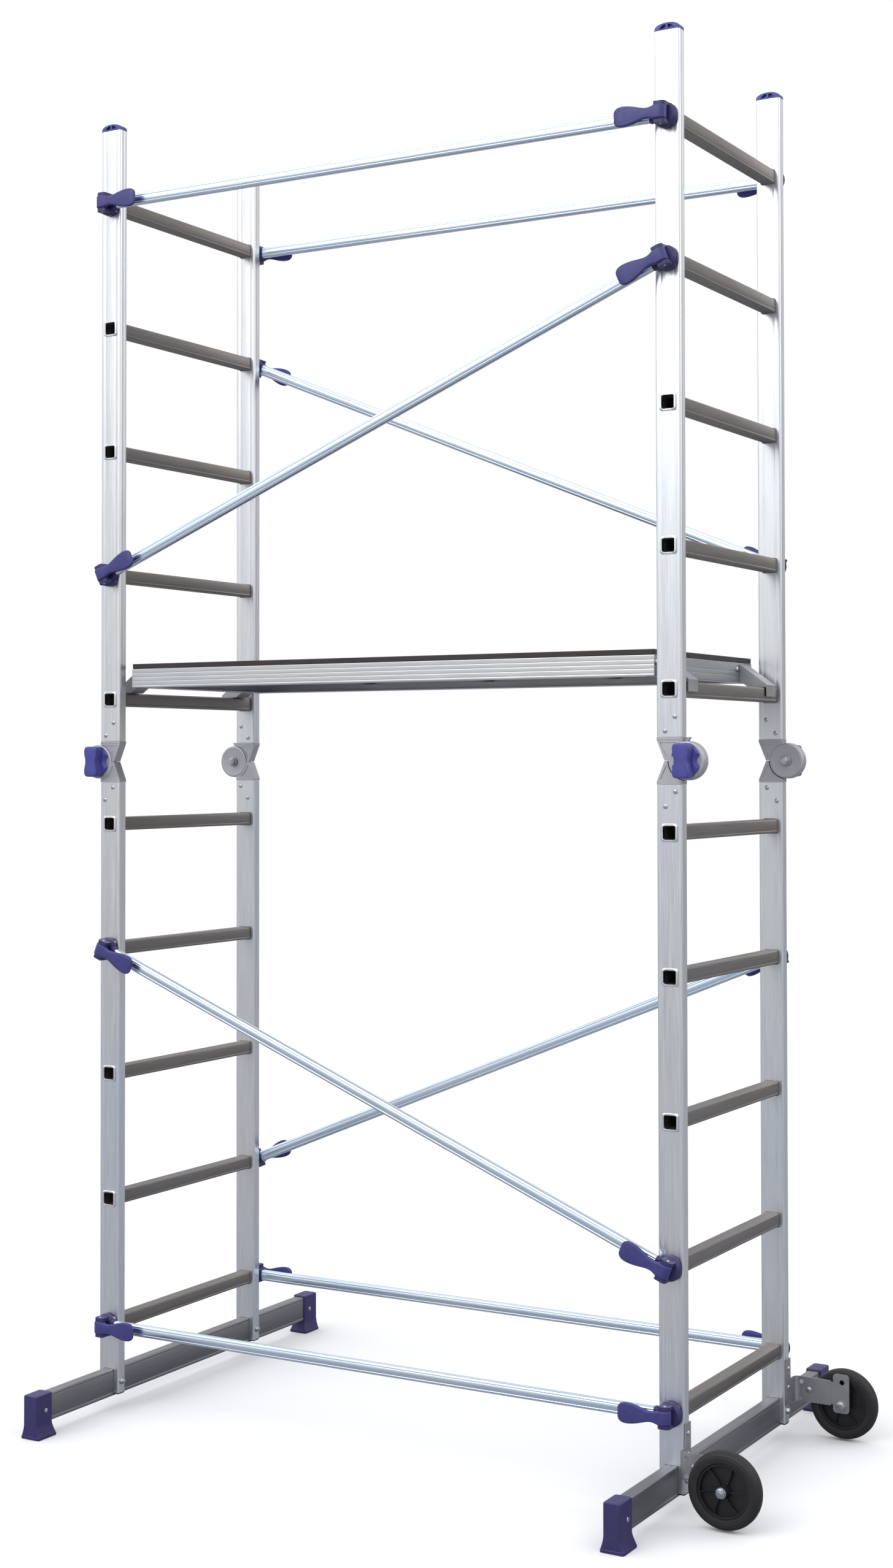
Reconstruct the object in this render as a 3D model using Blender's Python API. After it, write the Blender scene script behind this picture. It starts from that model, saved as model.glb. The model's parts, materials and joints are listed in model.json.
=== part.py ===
"""Mobile tower scaffold: two folding ladder end frames, eight clamped braces and a lift-out platform.

Metres, +Z up. The origin is on the floor under the middle of the tower's box. +X is the end with the
wheels and +Y is the back. The right end frame is modelled, and the left one is the same frame turned
half a turn about the tower's upright centre line.
"""

import math

import bmesh
import bpy
from mathutils import Matrix, Vector

# ---- driving dimensions
RUNG_PITCH = 0.280
RUNGS_PER_HALF = 5
HINGE_Z = 1.448
HALF_SPAN = 0.688            # tower centre line to the middle of a stile, along X
FRAME_DEPTH = 0.550          # over the outer faces of the front and back stiles
STILE_W, STILE_T, WALL = 0.054, 0.025, 0.002
STILE_BOTTOM, STILE_TOP = 0.037, 2.878
RUNG_W, RUNG_CORNER = 0.030, 0.005
FLARE_W, FLARE_T = 0.036, 0.003
GAP = 0.0003                 # between faces that touch
OVERRUN = 0.01               # how far a cutter reaches past what it cuts
JOIN = 0.001                 # how far shapes that are joined run into each other

HINGE_OUT = 0.035            # from the middle of a stile out to the fold axis
DISC_R = 0.038
CAST_END = 0.0465            # from the fold axis to the end of each stile
APEX = 0.0167                # where the castings meet, in from the inboard edge
PLUG_LENGTH = 0.058
BOLT_R, BORE_R = 0.0060, 0.0064
NUT_R, NUT_T = 0.0095, 0.007
SPACER_R, SPACER_T = 0.0115, 0.004

KNOB_R, KNOB_BASE_T = 0.031, 0.006
KNOB_W, KNOB_H, KNOB_DEPTH = 0.035, 0.069, 0.028

CAP_H = 0.015
BAR_W, BAR_H, BAR_Z = 0.027, 0.059, 0.030
FOOT_END = 0.542             # end of a foot, from the middle of the tower along Y
FOOT_W, FOOT_LENGTH, FOOT_H = 0.036, 0.054, 0.0925
PAD_W, PAD_LENGTH, PAD_H = 0.050, 0.060, 0.026

WHEEL_R, WHEEL_T, WHEEL_Z = 0.0735, 0.032, 0.0768
WHEEL_OUT = 0.1323           # from the middle of a stile out to the axle
HUB_R, HUB_BOSS = 0.013, 0.0045
SHEET_T = 0.0025             # the wheel bracket's steel
PLATE_Z = (0.075, 0.172)     # the bracket's plate on the stile
ARM_Z = (0.075, 0.128)
ARM_Y = 0.302                # from the middle of the tower to the arm's inner face
BEND = 0.010
TAB_W, TAB_Z = 0.036, (0.061, 0.143)
SPARE_R, SPARE_DOWN = 0.005, 0.017
WHEEL_PLAY, WASHER_T = 0.0035, 0.003
WASHER_R, HEAD_R = 0.011, 0.0105

TUBE_W, TUBE_T, TUBE_WALL, DRAIN = 0.0255, 0.015, 0.0015, 0.005
COLLAR_R, COLLAR_T = 0.025, 0.014
SOCKET_NEAR, SOCKET_FAR = 0.0190, 0.029
SOCKET_W, SOCKET_T = 0.029, 0.0165
PIN_OUT = 0.031              # from the stile's outer face out to the lever's pin
PIN_R = 0.003
EAR_IN, EAR_T = 0.0138, 0.0075        # from the pin's middle to an ear's inner face, and its thickness
EAR_LENGTH, EAR_FRONT = 0.025, 0.0080 # along the brace, and how far it reaches out past the pin
PLUG_R, PLUG_REACH = 0.0115, 0.030
LEVER_HUB_R, LEVER_HUB_W = 0.0125, 0.027
LEVER_LENGTH, PADDLE_W, PADDLE_T = 0.097, 0.040, 0.009
NECK_X, NECK_W = 0.024, 0.020
PADDLE_NEAR = 0.0015         # from the pin out to the paddle's inner face

DECK_HALF, DECK_W, DECK_T = 0.645, 0.500, 0.011
RAIL_Z, RAIL_H, RAIL_W = 1.6145, 0.0425, 0.024
HOOK_W, HOOK_T, HOOK_Y = 0.046, 0.003, 0.205
HOOK_PLAY, HOOK_DROP = 0.0030, 0.020
CROSS_W, CROSS_H, CHANNEL_WALL = 0.026, 0.026, 0.0025

# ---- worked out from them
FRONT = -FRAME_DEPTH / 2
HINGE_X = HALF_SPAN + HINGE_OUT
WHEEL_X = HALF_SPAN + WHEEL_OUT
CENTRE_SHIFT = (HINGE_X + DISC_R - WHEEL_X - WHEEL_R) / 2
RUNG_6 = HINGE_Z + RUNG_PITCH / 2
STILE_MID = FRONT + STILE_T / 2

COLOURS = {
    "aluminium": ((0.62, 0.64, 0.66), 0.35, 1.0),
    "cast": ((0.45, 0.45, 0.48), 0.55, 0.9),
    "blue": ((0.09, 0.10, 0.33), 0.45, 0.0),
    "rubber": ((0.025, 0.025, 0.03), 0.7, 0.0),
    "steel": ((0.50, 0.51, 0.53), 0.45, 1.0),
    "plywood": ((0.05, 0.032, 0.026), 0.6, 0.0),
}


def clear_scene():
    for old in list(bpy.data.objects):
        bpy.data.objects.remove(old)


def material(kind):
    """One material for each sub-part, with the finish of its kind."""
    colour, roughness, metallic = COLOURS[kind]
    made = bpy.data.materials.new(kind)
    made.use_nodes = True
    shader = made.node_tree.nodes["Principled BSDF"]
    shader.inputs["Base Color"].default_value = (*colour, 1)
    shader.inputs["Roughness"].default_value = roughness
    shader.inputs["Metallic"].default_value = metallic
    return made


# ---- outlines
def rounded(width, height, corner, steps=1, centre=(0, 0)):
    """A rectangle with round corners, as points going round it. One step makes a plain chamfer."""
    points = []
    for k, (sx, sy) in enumerate(((1, 1), (-1, 1), (-1, -1), (1, -1))):
        for i in range(steps + 1):
            angle = math.pi / 2 * (k + i / steps)
            points.append((
                centre[0] + sx * (width / 2 - corner) + corner * math.cos(angle),
                centre[1] + sy * (height / 2 - corner) + corner * math.sin(angle),
            ))
    return points


def rectangle(left, right, low, high):
    return [(left, low), (right, low), (right, high), (left, high)]


def box(width, height, centre=(0, 0)):
    x, y = centre
    return rectangle(x - width / 2, x + width / 2, y - height / 2, y + height / 2)


def circle(radius, sides=12, centre=(0, 0), start=0.5):
    angles = [2 * math.pi / sides * (i + start) for i in range(sides)]
    return [(centre[0] + radius * math.cos(a), centre[1] + radius * math.sin(a)) for a in angles]


# ---- solids
def extrude(outline, axis, near, far):
    """The outline's prism along an axis. Its points are (y, z), (x, z) or (x, y)."""
    place = {
        "X": lambda a, b, t: (t, a, b),
        "Y": lambda a, b, t: (a, t, b),
        "Z": lambda a, b, t: (a, b, t),
    }[axis]
    bm = bmesh.new()
    rings = [[bm.verts.new(place(a, b, t)) for a, b in outline] for t in (near, far)]
    count = len(outline)
    for i in range(count):
        j = (i + 1) % count
        bm.faces.new((rings[0][i], rings[0][j], rings[1][j], rings[1][i]))
    bm.faces.new(rings[0])
    bm.faces.new(rings[1])
    return finished(bm)


def loft(sections):
    """A solid through outlines of the same number of points, each given with its height."""
    bm = bmesh.new()
    rings = [[bm.verts.new((x, y, z)) for x, y in outline] for outline, z in sections]
    count = len(rings[0])
    for low, high in zip(rings, rings[1:]):
        for i in range(count):
            j = (i + 1) % count
            bm.faces.new((low[i], low[j], high[j], high[i]))
    bm.faces.new(rings[0])
    bm.faces.new(rings[-1])
    return finished(bm)


def turned(profile, sides=24):
    """The profile's (radius, y) points turned about the Y axis. They form a closed ring section."""
    bm = bmesh.new()
    rings = [
        [bm.verts.new((r * math.cos(a), y, r * math.sin(a))) for r, y in profile]
        for a in (2 * math.pi * i / sides for i in range(sides))
    ]
    count = len(profile)
    for k in range(sides):
        near, far = rings[k], rings[(k + 1) % sides]
        for i in range(count):
            j = (i + 1) % count
            bm.faces.new((near[i], near[j], far[j], far[i]))
    return finished(bm)


def finished(bm):
    bmesh.ops.recalc_face_normals(bm, faces=bm.faces)
    mesh = bpy.data.meshes.new("solid")
    bm.to_mesh(mesh)
    bm.free()
    return mesh


def moved(mesh, offset=(0, 0, 0), turn=0.0, axis="Z"):
    """A copy of the mesh, turned about an axis through the origin and then shifted."""
    copy = mesh.copy()
    copy.transform(Matrix.Translation(Vector(offset)) @ Matrix.Rotation(turn, 4, axis))
    return copy


def combined(first, add=(), cut=()):
    """The first solid with others joined on and then others cut away, as one mesh."""
    body = bpy.data.objects.new("body", first)
    helpers = []
    bpy.context.scene.collection.objects.link(body)
    for operation, meshes in (("UNION", add), ("DIFFERENCE", cut)):
        for mesh in meshes:
            helper = bpy.data.objects.new("helper", mesh)
            bpy.context.scene.collection.objects.link(helper)
            helpers.append(helper)
            step = body.modifiers.new(operation.lower(), "BOOLEAN")
            step.operation = operation
            step.object = helper
    graph = bpy.context.evaluated_depsgraph_get()
    result = bpy.data.meshes.new_from_object(body.evaluated_get(graph))
    for used in (body, *helpers):
        bpy.data.objects.remove(used)
    return result


# ---- placing
def node(name, mesh, kind, origin, turn=0.0, axis_turn=0.0):
    """One object. The mesh is given about its own origin, which goes to this place in the tower."""
    made = bpy.data.objects.new(name, mesh)
    bpy.context.scene.collection.objects.link(made)
    half_turn = Matrix.Rotation(turn, 4, "Z")
    place = half_turn @ Matrix.Translation(Vector(origin)) @ Matrix.Rotation(axis_turn, 4, "Y")
    made.matrix_world = Matrix.Translation((CENTRE_SHIFT, 0, 0)) @ place
    made.data.materials.clear()
    made.data.materials.append(material(kind))
    made.data.shade_smooth()
    made.data.set_sharp_from_angle(angle=math.radians(35))
    return made


def from_origin(mesh, origin):
    return moved(mesh, -Vector(origin))


# ---- the end frame, at the right
def stile_tube(low, high, middle_y):
    outline = rounded(STILE_W, STILE_T, 0.003, 1, (HALF_SPAN, middle_y))
    hollow = box(STILE_W - 2 * WALL, STILE_T - 2 * WALL, (HALF_SPAN, middle_y))
    return extrude(outline, "Z", low, high), extrude(hollow, "Z", low - OVERRUN, high + OVERRUN)


def rung_heights(low, high):
    every = [HINGE_Z + RUNG_PITCH * (k + 0.5) for k in range(-RUNGS_PER_HALF, RUNGS_PER_HALF)]
    return [z for z in every if low < z < high]


def bar_notch(middle_y):
    """The slot at the foot of a stile that the base bar passes through."""
    half = BAR_W / 2 + GAP
    outline = rectangle(HALF_SPAN - half, HALF_SPAN + half, STILE_BOTTOM - OVERRUN, BAR_Z + BAR_H + GAP)
    return extrude(outline, "Y", middle_y - STILE_T, middle_y + STILE_T)


def front_stile_with_rungs(low, high):
    """The front stile and its five welded rungs, hollow right through."""
    tube, hollow = stile_tube(low, high, STILE_MID)
    far = -FRONT + GAP
    add, cut = [], [hollow]
    for z in rung_heights(low, high):
        middle = (HALF_SPAN, z)
        rung = rounded(RUNG_W, RUNG_W, RUNG_CORNER, 1, middle)
        add.append(extrude(rung, "Y", FRONT + JOIN, far + JOIN))
        flare = box(FLARE_W, FLARE_W, middle)
        add.append(extrude(flare, "Y", FRONT - FLARE_T, FRONT + JOIN))
        add.append(extrude(flare, "Y", far, far + FLARE_T))
        inside = box(RUNG_W - 2 * WALL, RUNG_W - 2 * WALL, middle)
        cut.append(extrude(inside, "Y", FRONT - OVERRUN, far + OVERRUN))
    if low < BAR_Z + BAR_H:
        cut.append(bar_notch(STILE_MID))
    return combined(tube, add, cut)


def back_stile(low, high):
    """The back stile, with a square hole for each rung's end."""
    tube, hollow = stile_tube(low, high, -STILE_MID)
    cut = [hollow]
    hole = RUNG_W + 2 * GAP
    inner = -FRONT - STILE_T
    for z in rung_heights(low, high):
        cut.append(extrude(box(hole, hole, (HALF_SPAN, z)), "Y", inner - OVERRUN, -FRONT + OVERRUN))
    if low < BAR_Z + BAR_H:
        cut.append(bar_notch(-STILE_MID))
    return combined(tube, (), cut)


def fold_casting():
    """The upper half of a fold hinge about the fold axis, its disc in the front half of the thickness.

    Turned half a turn about X it is the lower half.
    """
    inboard = -HINGE_OUT - STILE_W / 2
    outboard = inboard + STILE_W
    outline = [
        (inboard + APEX, GAP),
        (0, GAP),
        (0, DISC_R * 0.9),
        (outboard, DISC_R * 0.9),
        (outboard, CAST_END - GAP),
        (inboard, CAST_END - GAP),
        (inboard, CAST_END - 0.006),
    ]
    half = STILE_T / 2
    body = extrude(outline, "Y", -half, half)
    disc = extrude(circle(DISC_R, 24), "Y", -half, -GAP)
    room = extrude(circle(DISC_R + 4 * GAP, 24), "Y", -GAP, half + OVERRUN)
    gap_all_round = 2 * GAP
    plug_outline = rounded(
        STILE_W - 2 * WALL - gap_all_round, STILE_T - 2 * WALL - gap_all_round, 0.0015, 1,
        (inboard + STILE_W / 2, 0),
    )
    plug = extrude(plug_outline, "Z", CAST_END - 0.004, CAST_END + PLUG_LENGTH)
    bore = extrude(circle(BORE_R), "Y", -STILE_T, STILE_T)
    return combined(combined(body, (), [room]), [disc, plug], [bore])


def pivot_knob():
    """The wing knob and its through bolt, about the fold axis, on the front of a hinge."""
    face = -STILE_T / 2 - GAP
    base = extrude(circle(KNOB_R, 16), "Y", face - KNOB_BASE_T, face)
    waist, flat = KNOB_W / 2 * 0.78, KNOB_H / 2
    side = [(KNOB_W / 2, flat * 0.85), (KNOB_W / 2 * 0.9, flat * 0.45), (waist, 0)]
    right = [(x, z) for x, z in side] + [(x, -z) for x, z in side[1::-1]]
    outline = [(KNOB_W / 2 * 0.6, -flat), (-KNOB_W / 2 * 0.6, -flat)]
    outline = right + outline + [(-x, -z) for x, z in right] + [(-x, -z) for x, z in outline]
    wing = extrude(outline, "Y", face - KNOB_DEPTH, face - 0.002)
    back = STILE_T / 2 + GAP
    bolt = extrude(circle(BOLT_R), "Y", face - 0.002, back + SPACER_T + NUT_T + JOIN)
    spacer = extrude(circle(SPACER_R), "Y", back, back + SPACER_T)
    nut = extrude(circle(NUT_R, 6), "Y", back + SPACER_T - JOIN, back + SPACER_T + NUT_T)
    return combined(base, [wing, bolt, spacer, nut])


def top_cap():
    """The arched cap on a stile's top, about the middle of the stile's end."""
    half = STILE_W / 2
    arch = [(half * math.cos(a), GAP + 0.004 + (CAP_H - 0.004 - GAP) * math.sin(a))
            for a in (math.pi * i / 10 for i in range(11))]
    outline = [(-half, GAP), (half, GAP)] + arch
    dome = extrude(outline, "Y", -STILE_T / 2, STILE_T / 2)
    fit = 2 * WALL + 2 * GAP
    plug = extrude(rounded(STILE_W - fit, STILE_T - fit, 0.0015, 1), "Z", -0.022, 0.002)
    pocket = extrude(rectangle(-half * 0.62, -0.003, 0.004, 0.0115), "Y", -STILE_T, -STILE_T / 2 + 0.004)
    other = extrude(rectangle(0.003, half * 0.62, 0.004, 0.0115), "Y", -STILE_T, -STILE_T / 2 + 0.004)
    return combined(dome, [plug], [pocket, other])


def base_bar():
    middle = (HALF_SPAN, BAR_Z + BAR_H / 2)
    reach = FOOT_END - 0.005
    tube = extrude(rounded(BAR_W, BAR_H, 0.003, 1, middle), "Y", -reach, reach)
    hollow = rounded(BAR_W - 2 * WALL, BAR_H - 2 * WALL, 0.001, 1, middle)
    return combined(tube, (), [extrude(hollow, "Y", -reach - OVERRUN, reach + OVERRUN)])


def foot():
    """The foot at the front end of a base bar, about the middle of its sole."""
    middle = FOOT_LENGTH / 2
    sleeve = rounded(FOOT_W, FOOT_LENGTH, 0.004)
    pad_shift = (PAD_LENGTH - FOOT_LENGTH) / 2
    pad = loft([
        (rounded(PAD_W, PAD_LENGTH, 0.004, 1, (0, pad_shift)), 0),
        (rounded(PAD_W, PAD_LENGTH, 0.004, 1, (0, pad_shift)), 0.006),
        (rounded(FOOT_W, FOOT_LENGTH, 0.004), PAD_H),
        (rounded(FOOT_W, FOOT_LENGTH, 0.004), PAD_H + 0.002),
    ])
    upright = extrude(sleeve, "Z", PAD_H, FOOT_H)
    socket = rectangle(-BAR_W / 2 - GAP, BAR_W / 2 + GAP, BAR_Z - GAP, BAR_Z + BAR_H + GAP)
    return combined(pad, [upright], [extrude(socket, "Y", -middle + 0.005 - GAP, middle + OVERRUN)])


def wheel():
    """The wheel about its centre, its axle along Y and the hub's boss towards +Y."""
    half = WHEEL_T / 2
    rim, web = WHEEL_R * 0.66, 0.004
    dish = [(HUB_R, web), (rim, web), (rim, half), (WHEEL_R * 0.86, half)]
    inner = [(BORE_R, -half), (HUB_R, -half)] + [(r, -y) for r, y in dish]
    outer = dish[::-1] + [(HUB_R, half + HUB_BOSS), (BORE_R, half + HUB_BOSS)]
    return turned(inner + [(WHEEL_R, -half * 0.4), (WHEEL_R, half * 0.4)] + outer)


def wheel_bracket():
    """The back wheel's folded steel bracket and axle bolt, about the foot of the axle's line.

    The front wheel's is its mirror image.
    """
    plate = HALF_SPAN + STILE_W / 2 + GAP - WHEEL_X
    inner, far = FRAME_DEPTH / 2 - STILE_T, ARM_Y + SHEET_T
    upright = extrude(rectangle(inner, FRAME_DEPTH / 2, *PLATE_Z), "X", plate, plate + SHEET_T)
    arm_end = -TAB_W / 2 + 2 * JOIN
    mitre = SHEET_T * math.tan(math.pi / 8)
    bent = [
        (plate, inner), (plate + SHEET_T, inner), (plate + SHEET_T, ARM_Y - BEND),
        (plate + SHEET_T + BEND, ARM_Y), (arm_end, ARM_Y), (arm_end, far),
        (plate + SHEET_T + BEND - mitre, far), (plate, ARM_Y - BEND + mitre),
    ]
    arm = extrude(bent, "Z", *ARM_Z)
    tab_middle = (0, (TAB_Z[0] + TAB_Z[1]) / 2)
    tab = extrude(rounded(TAB_W, TAB_Z[1] - TAB_Z[0], 0.006, 1, tab_middle), "Y", ARM_Y, far)
    spare = extrude(circle(SPARE_R, 8, (0, TAB_Z[1] - SPARE_DOWN)), "Y", ARM_Y - OVERRUN, far + OVERRUN)
    axle_line = (0, WHEEL_Z)
    nut_near = far + WHEEL_PLAY + WHEEL_T + HUB_BOSS + GAP
    axle = extrude(circle(BOLT_R, 12, axle_line), "Y", ARM_Y - NUT_T / 2, nut_near + NUT_T + JOIN)
    washer = extrude(circle(WASHER_R, 12, axle_line), "Y", far - JOIN, far + WASHER_T)
    nut = extrude(circle(NUT_R, 6, axle_line), "Y", nut_near, nut_near + NUT_T)
    head = extrude(circle(HEAD_R, 6, axle_line), "Y", ARM_Y - NUT_T, ARM_Y + JOIN)
    return combined(upright, [arm, tab, axle, washer, nut, head], [spare])


# ---- braces and their levers, in their own frame: X along the brace, Z across it, Y out of the tower
def brace(length, plugged):
    """A brace from rung axis to rung axis, with Y = 0 on the stiles' outer faces.

    plugged says of each end whether it has the plug that goes into the rung.
    """
    tube_mid = -(FLARE_T + 3 * GAP + SOCKET_T / 2)
    section = rounded(TUBE_T, TUBE_W, 0.006, 1, (tube_mid, 0))
    tube = extrude(section, "X", SOCKET_NEAR + 0.004, length - SOCKET_NEAR - 0.004)
    ends = brace_end(0, 1, plugged[0], tube_mid) + brace_end(length, -1, plugged[1], tube_mid)
    bore = box(TUBE_T - 2 * TUBE_WALL, TUBE_W - 2 * TUBE_WALL, (tube_mid, 0))
    hollow = extrude(bore, "X", SOCKET_FAR + 0.004, length - SOCKET_FAR - 0.004)
    drain = extrude(box(DRAIN, DRAIN, (SOCKET_FAR + 0.02, 0)), "Y", tube_mid, 0)
    return combined(tube, ends, [hollow, drain])


def brace_end(start, way, plugged, tube_mid):
    """The clamp at one end: a collar on the rung's end, a socket for the tube, two ears and their pin."""
    collar_near = -(FLARE_T + 2 * GAP)
    collar_far = collar_near - COLLAR_T
    collar = extrude(circle(COLLAR_R, 16, (start, 0)), "Y", collar_far, collar_near)
    low, high = sorted((start + way * SOCKET_NEAR, start + way * SOCKET_FAR))
    side = tube_mid + SOCKET_T / 2
    socket = extrude(rectangle(low, high, -SOCKET_W / 2, SOCKET_W / 2), "Y", side - SOCKET_T, side)
    ear_ends = (start - EAR_LENGTH / 2, start + EAR_LENGTH / 2)
    ear = rectangle(*ear_ends, -PIN_OUT - EAR_FRONT, collar_far + JOIN)
    ears = [extrude(ear, "Z", z, z + EAR_T) for z in (EAR_IN, -EAR_IN - EAR_T)]
    pin = extrude(circle(PIN_R, 6, (start, -PIN_OUT)), "Z", -EAR_IN - JOIN, EAR_IN + JOIN)
    parts = [collar, socket, *ears, pin]
    if plugged:
        parts.append(extrude(circle(PLUG_R, 8, (start, 0)), "Y", collar_near - JOIN, PLUG_REACH))
    return parts


def lever():
    """The clamp lever about its pin: X along the brace, the paddle on the outer side."""
    half = LEVER_HUB_W / 2
    hub = extrude(circle(LEVER_HUB_R, 12), "Z", -half, half)
    edge = [
        (0.004, half), (0.013, half), (NECK_X, NECK_W / 2), (0.042, NECK_W * 0.66),
        (0.068, PADDLE_W * 0.48), (0.080, PADDLE_W / 2), (0.091, PADDLE_W * 0.44),
        (LEVER_LENGTH, PADDLE_W * 0.25),
    ]
    outline = edge + [(x, -z) for x, z in edge[::-1]]
    paddle = extrude(outline, "Y", -PADDLE_NEAR - PADDLE_T, -PADDLE_NEAR)
    bore = extrude(circle(PIN_R + 2 * GAP, 6), "Z", -half - OVERRUN, half + OVERRUN)
    return combined(hub, [paddle], [bore])


# ---- platform
def channel(outer, inner, low, high):
    """A channel section's outline between two heights, its web at outer and its open side at inner."""
    way = math.copysign(1, outer - inner)
    web = outer - way * CHANNEL_WALL
    return [
        (outer, low), (outer, high), (inner, high), (inner, high - CHANNEL_WALL),
        (web, high - CHANNEL_WALL), (web, low + CHANNEL_WALL), (inner, low + CHANNEL_WALL), (inner, low),
    ]


def platform_frame():
    """Channel side rails and ends, three cross members and four rung hooks, as one welded frame."""
    top = RAIL_Z + RAIL_H
    edge, across = DECK_W / 2, DECK_W / 2 - CHANNEL_WALL / 2
    rails = [
        extrude(channel(s * edge, s * (edge - RAIL_W), RAIL_Z, top), "X", -DECK_HALF, DECK_HALF)
        for s in (-1, 1)
    ]
    ends = [
        extrude(channel(s * DECK_HALF, s * (DECK_HALF - RAIL_W), RAIL_Z, top), "Y", -across, across)
        for s in (-1, 1)
    ]
    crosses = [
        extrude(box(CROSS_W, CROSS_H, (x, top - CROSS_H / 2)), "Y", -across, across)
        for x in (-DECK_HALF / 2, 0, DECK_HALF / 2)
    ]
    hooks = [
        extrude(hook_outline(s), "Y", y - HOOK_W / 2, y + HOOK_W / 2)
        for s in (-1, 1) for y in (-HOOK_Y, HOOK_Y)
    ]
    return combined(rails[0], [rails[1], *ends, *crosses, *hooks])


def hook_outline(side):
    """A hook's strip seen from the front: off the end plate, over the rung and down its outer side."""
    rung_top = RUNG_6 + RUNG_W / 2 + GAP
    inner = HALF_SPAN + RUNG_W / 2 + HOOK_PLAY
    outer = inner + HOOK_T
    points = [
        (DECK_HALF - 0.002, RAIL_Z + 0.001),
        (DECK_HALF - 0.002, RAIL_Z + RAIL_H - 0.004),
        (DECK_HALF + HOOK_T, RAIL_Z + RAIL_H - 0.004),
        (outer, rung_top + HOOK_T + 0.004),
        (outer, rung_top - HOOK_DROP),
        (inner, rung_top - HOOK_DROP),
        (inner, rung_top),
        (HALF_SPAN - RUNG_W / 2 - 0.006, rung_top),
        (DECK_HALF + HOOK_T, RAIL_Z + 0.001),
    ]
    return [(side * x, z) for x, z in points]


def platform_deck():
    low = RAIL_Z + RAIL_H + GAP
    return extrude(rounded(2 * DECK_HALF, DECK_W, 0.004, 1), "Z", low, low + DECK_T - GAP)


# ---- the assembly
def end_frame(side, turn):
    """One end frame's nodes, with the meshes that both frames share made once for each frame."""
    fold = (HINGE_X, 0, HINGE_Z)
    fold_low, fold_high = HINGE_Z - CAST_END, HINGE_Z + CAST_END
    near, far = ("front", "back") if side == "right" else ("back", "front")
    comb = front_stile_with_rungs(STILE_BOTTOM, fold_low)
    node(f"{side}_lower_stile_with_rungs", comb, "aluminium", (0, 0, 0), turn)
    plain = back_stile(STILE_BOTTOM, fold_low)
    node(f"{side}_lower_{far}_stile", plain, "aluminium", (0, 0, 0), turn)
    comb = from_origin(front_stile_with_rungs(fold_high, STILE_TOP), fold)
    node(f"{side}_upper_stile_with_rungs", comb, "aluminium", fold, turn)
    plain = from_origin(back_stile(fold_high, STILE_TOP), fold)
    node(f"{side}_upper_{far}_stile", plain, "aluminium", fold, turn)
    for end, y, out in ((near, STILE_MID, -1), (far, -STILE_MID, 1)):
        place = (HINGE_X, y, HINGE_Z)
        facing = 0.0 if out < 0 else math.pi
        upper, lower = fold_casting(), moved(fold_casting(), turn=math.pi, axis="X")
        node(f"{side}_{end}_upper_hinge_casting", upper, "cast", place, turn)
        node(f"{side}_{end}_lower_hinge_casting", lower, "cast", place, turn)
        node(f"{side}_{end}_hinge_knob", moved(pivot_knob(), turn=facing), "blue", place, turn)
        cap_place = (HALF_SPAN, y, STILE_TOP)
        node(f"{side}_{end}_top_cap", moved(top_cap(), turn=facing), "blue", cap_place, turn)
        sole = (HALF_SPAN, out * (FOOT_END - FOOT_LENGTH / 2), 0)
        node(f"{side}_{end}_foot", moved(foot(), turn=facing), "blue", sole, turn)
    node(f"{side}_base_bar", base_bar(), "aluminium", (0, 0, 0), turn)


def wheels():
    for end, out in (("front", -1), ("back", 1)):
        bracket = wheel_bracket()
        if out < 0:
            bracket.transform(Matrix.Scale(-1, 4, (0, 1, 0)))
            bracket.flip_normals()
        node(f"{end}_wheel_bracket", bracket, "steel", (WHEEL_X, 0, 0))
        middle = ARM_Y + SHEET_T + WHEEL_PLAY + WHEEL_T / 2
        facing = 0.0 if out > 0 else math.pi
        hub = (WHEEL_X, out * middle, WHEEL_Z)
        node(f"{end}_wheel", moved(wheel(), turn=facing), "rubber", hub)


def rung_z(number):
    return HINGE_Z + RUNG_PITCH * (number - RUNGS_PER_HALF - 0.5)


def braces():
    """The four front braces, and the same four turned half a turn about the centre line for the back."""
    for turn, face, left, right in ((0, "front", "left", "right"), (math.pi, "back", "right", "left")):
        for name, left_rung, right_rung, upper in (
            ("top_rail", 10, 10, True), ("upper_diagonal", 7, 9, True),
            ("lower_diagonal", 4, 2, False), ("bottom_rail", 1, 1, False),
        ):
            rise = rung_z(right_rung) - rung_z(left_rung)
            length = math.hypot(2 * HALF_SPAN, rise)
            slope = -math.atan2(rise, 2 * HALF_SPAN)
            # An upper brace hangs on the left frame, so its end at the right frame has no plug.
            plugged = [not upper or end == "left" for end in (left, right)]
            start = (-HALF_SPAN, FRONT, rung_z(left_rung))
            node(f"{face}_{name}", brace(length, plugged), "aluminium", start, turn, slope)
            for end, rung, x, way in (
                (left, left_rung, -HALF_SPAN, 0), (right, right_rung, HALF_SPAN, math.pi),
            ):
                place = (x, FRONT - PIN_OUT, rung_z(rung))
                arm = moved(lever(), turn=way, axis="Y")
                node(f"{face}_{name}_{end}_lever", arm, "blue", place, turn, slope)


def build():
    clear_scene()
    end_frame("right", 0)
    end_frame("left", math.pi)
    wheels()
    braces()
    node("platform_frame", platform_frame(), "aluminium", (0, 0, 0))
    node("platform_deck", platform_deck(), "plywood", (0, 0, 0))


build()
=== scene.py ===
"""Looks of the mobile tower scaffold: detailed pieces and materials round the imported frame.

Metres, +Z up. Most pieces are made for the right end frame in the tower's own coordinates, with X = 0 on
the tower's centre line, and the left frame is the same set turned half a turn about that line.
"""

import json
import math

import bmesh
import bpy
from mathutils import Matrix, Vector

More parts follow.
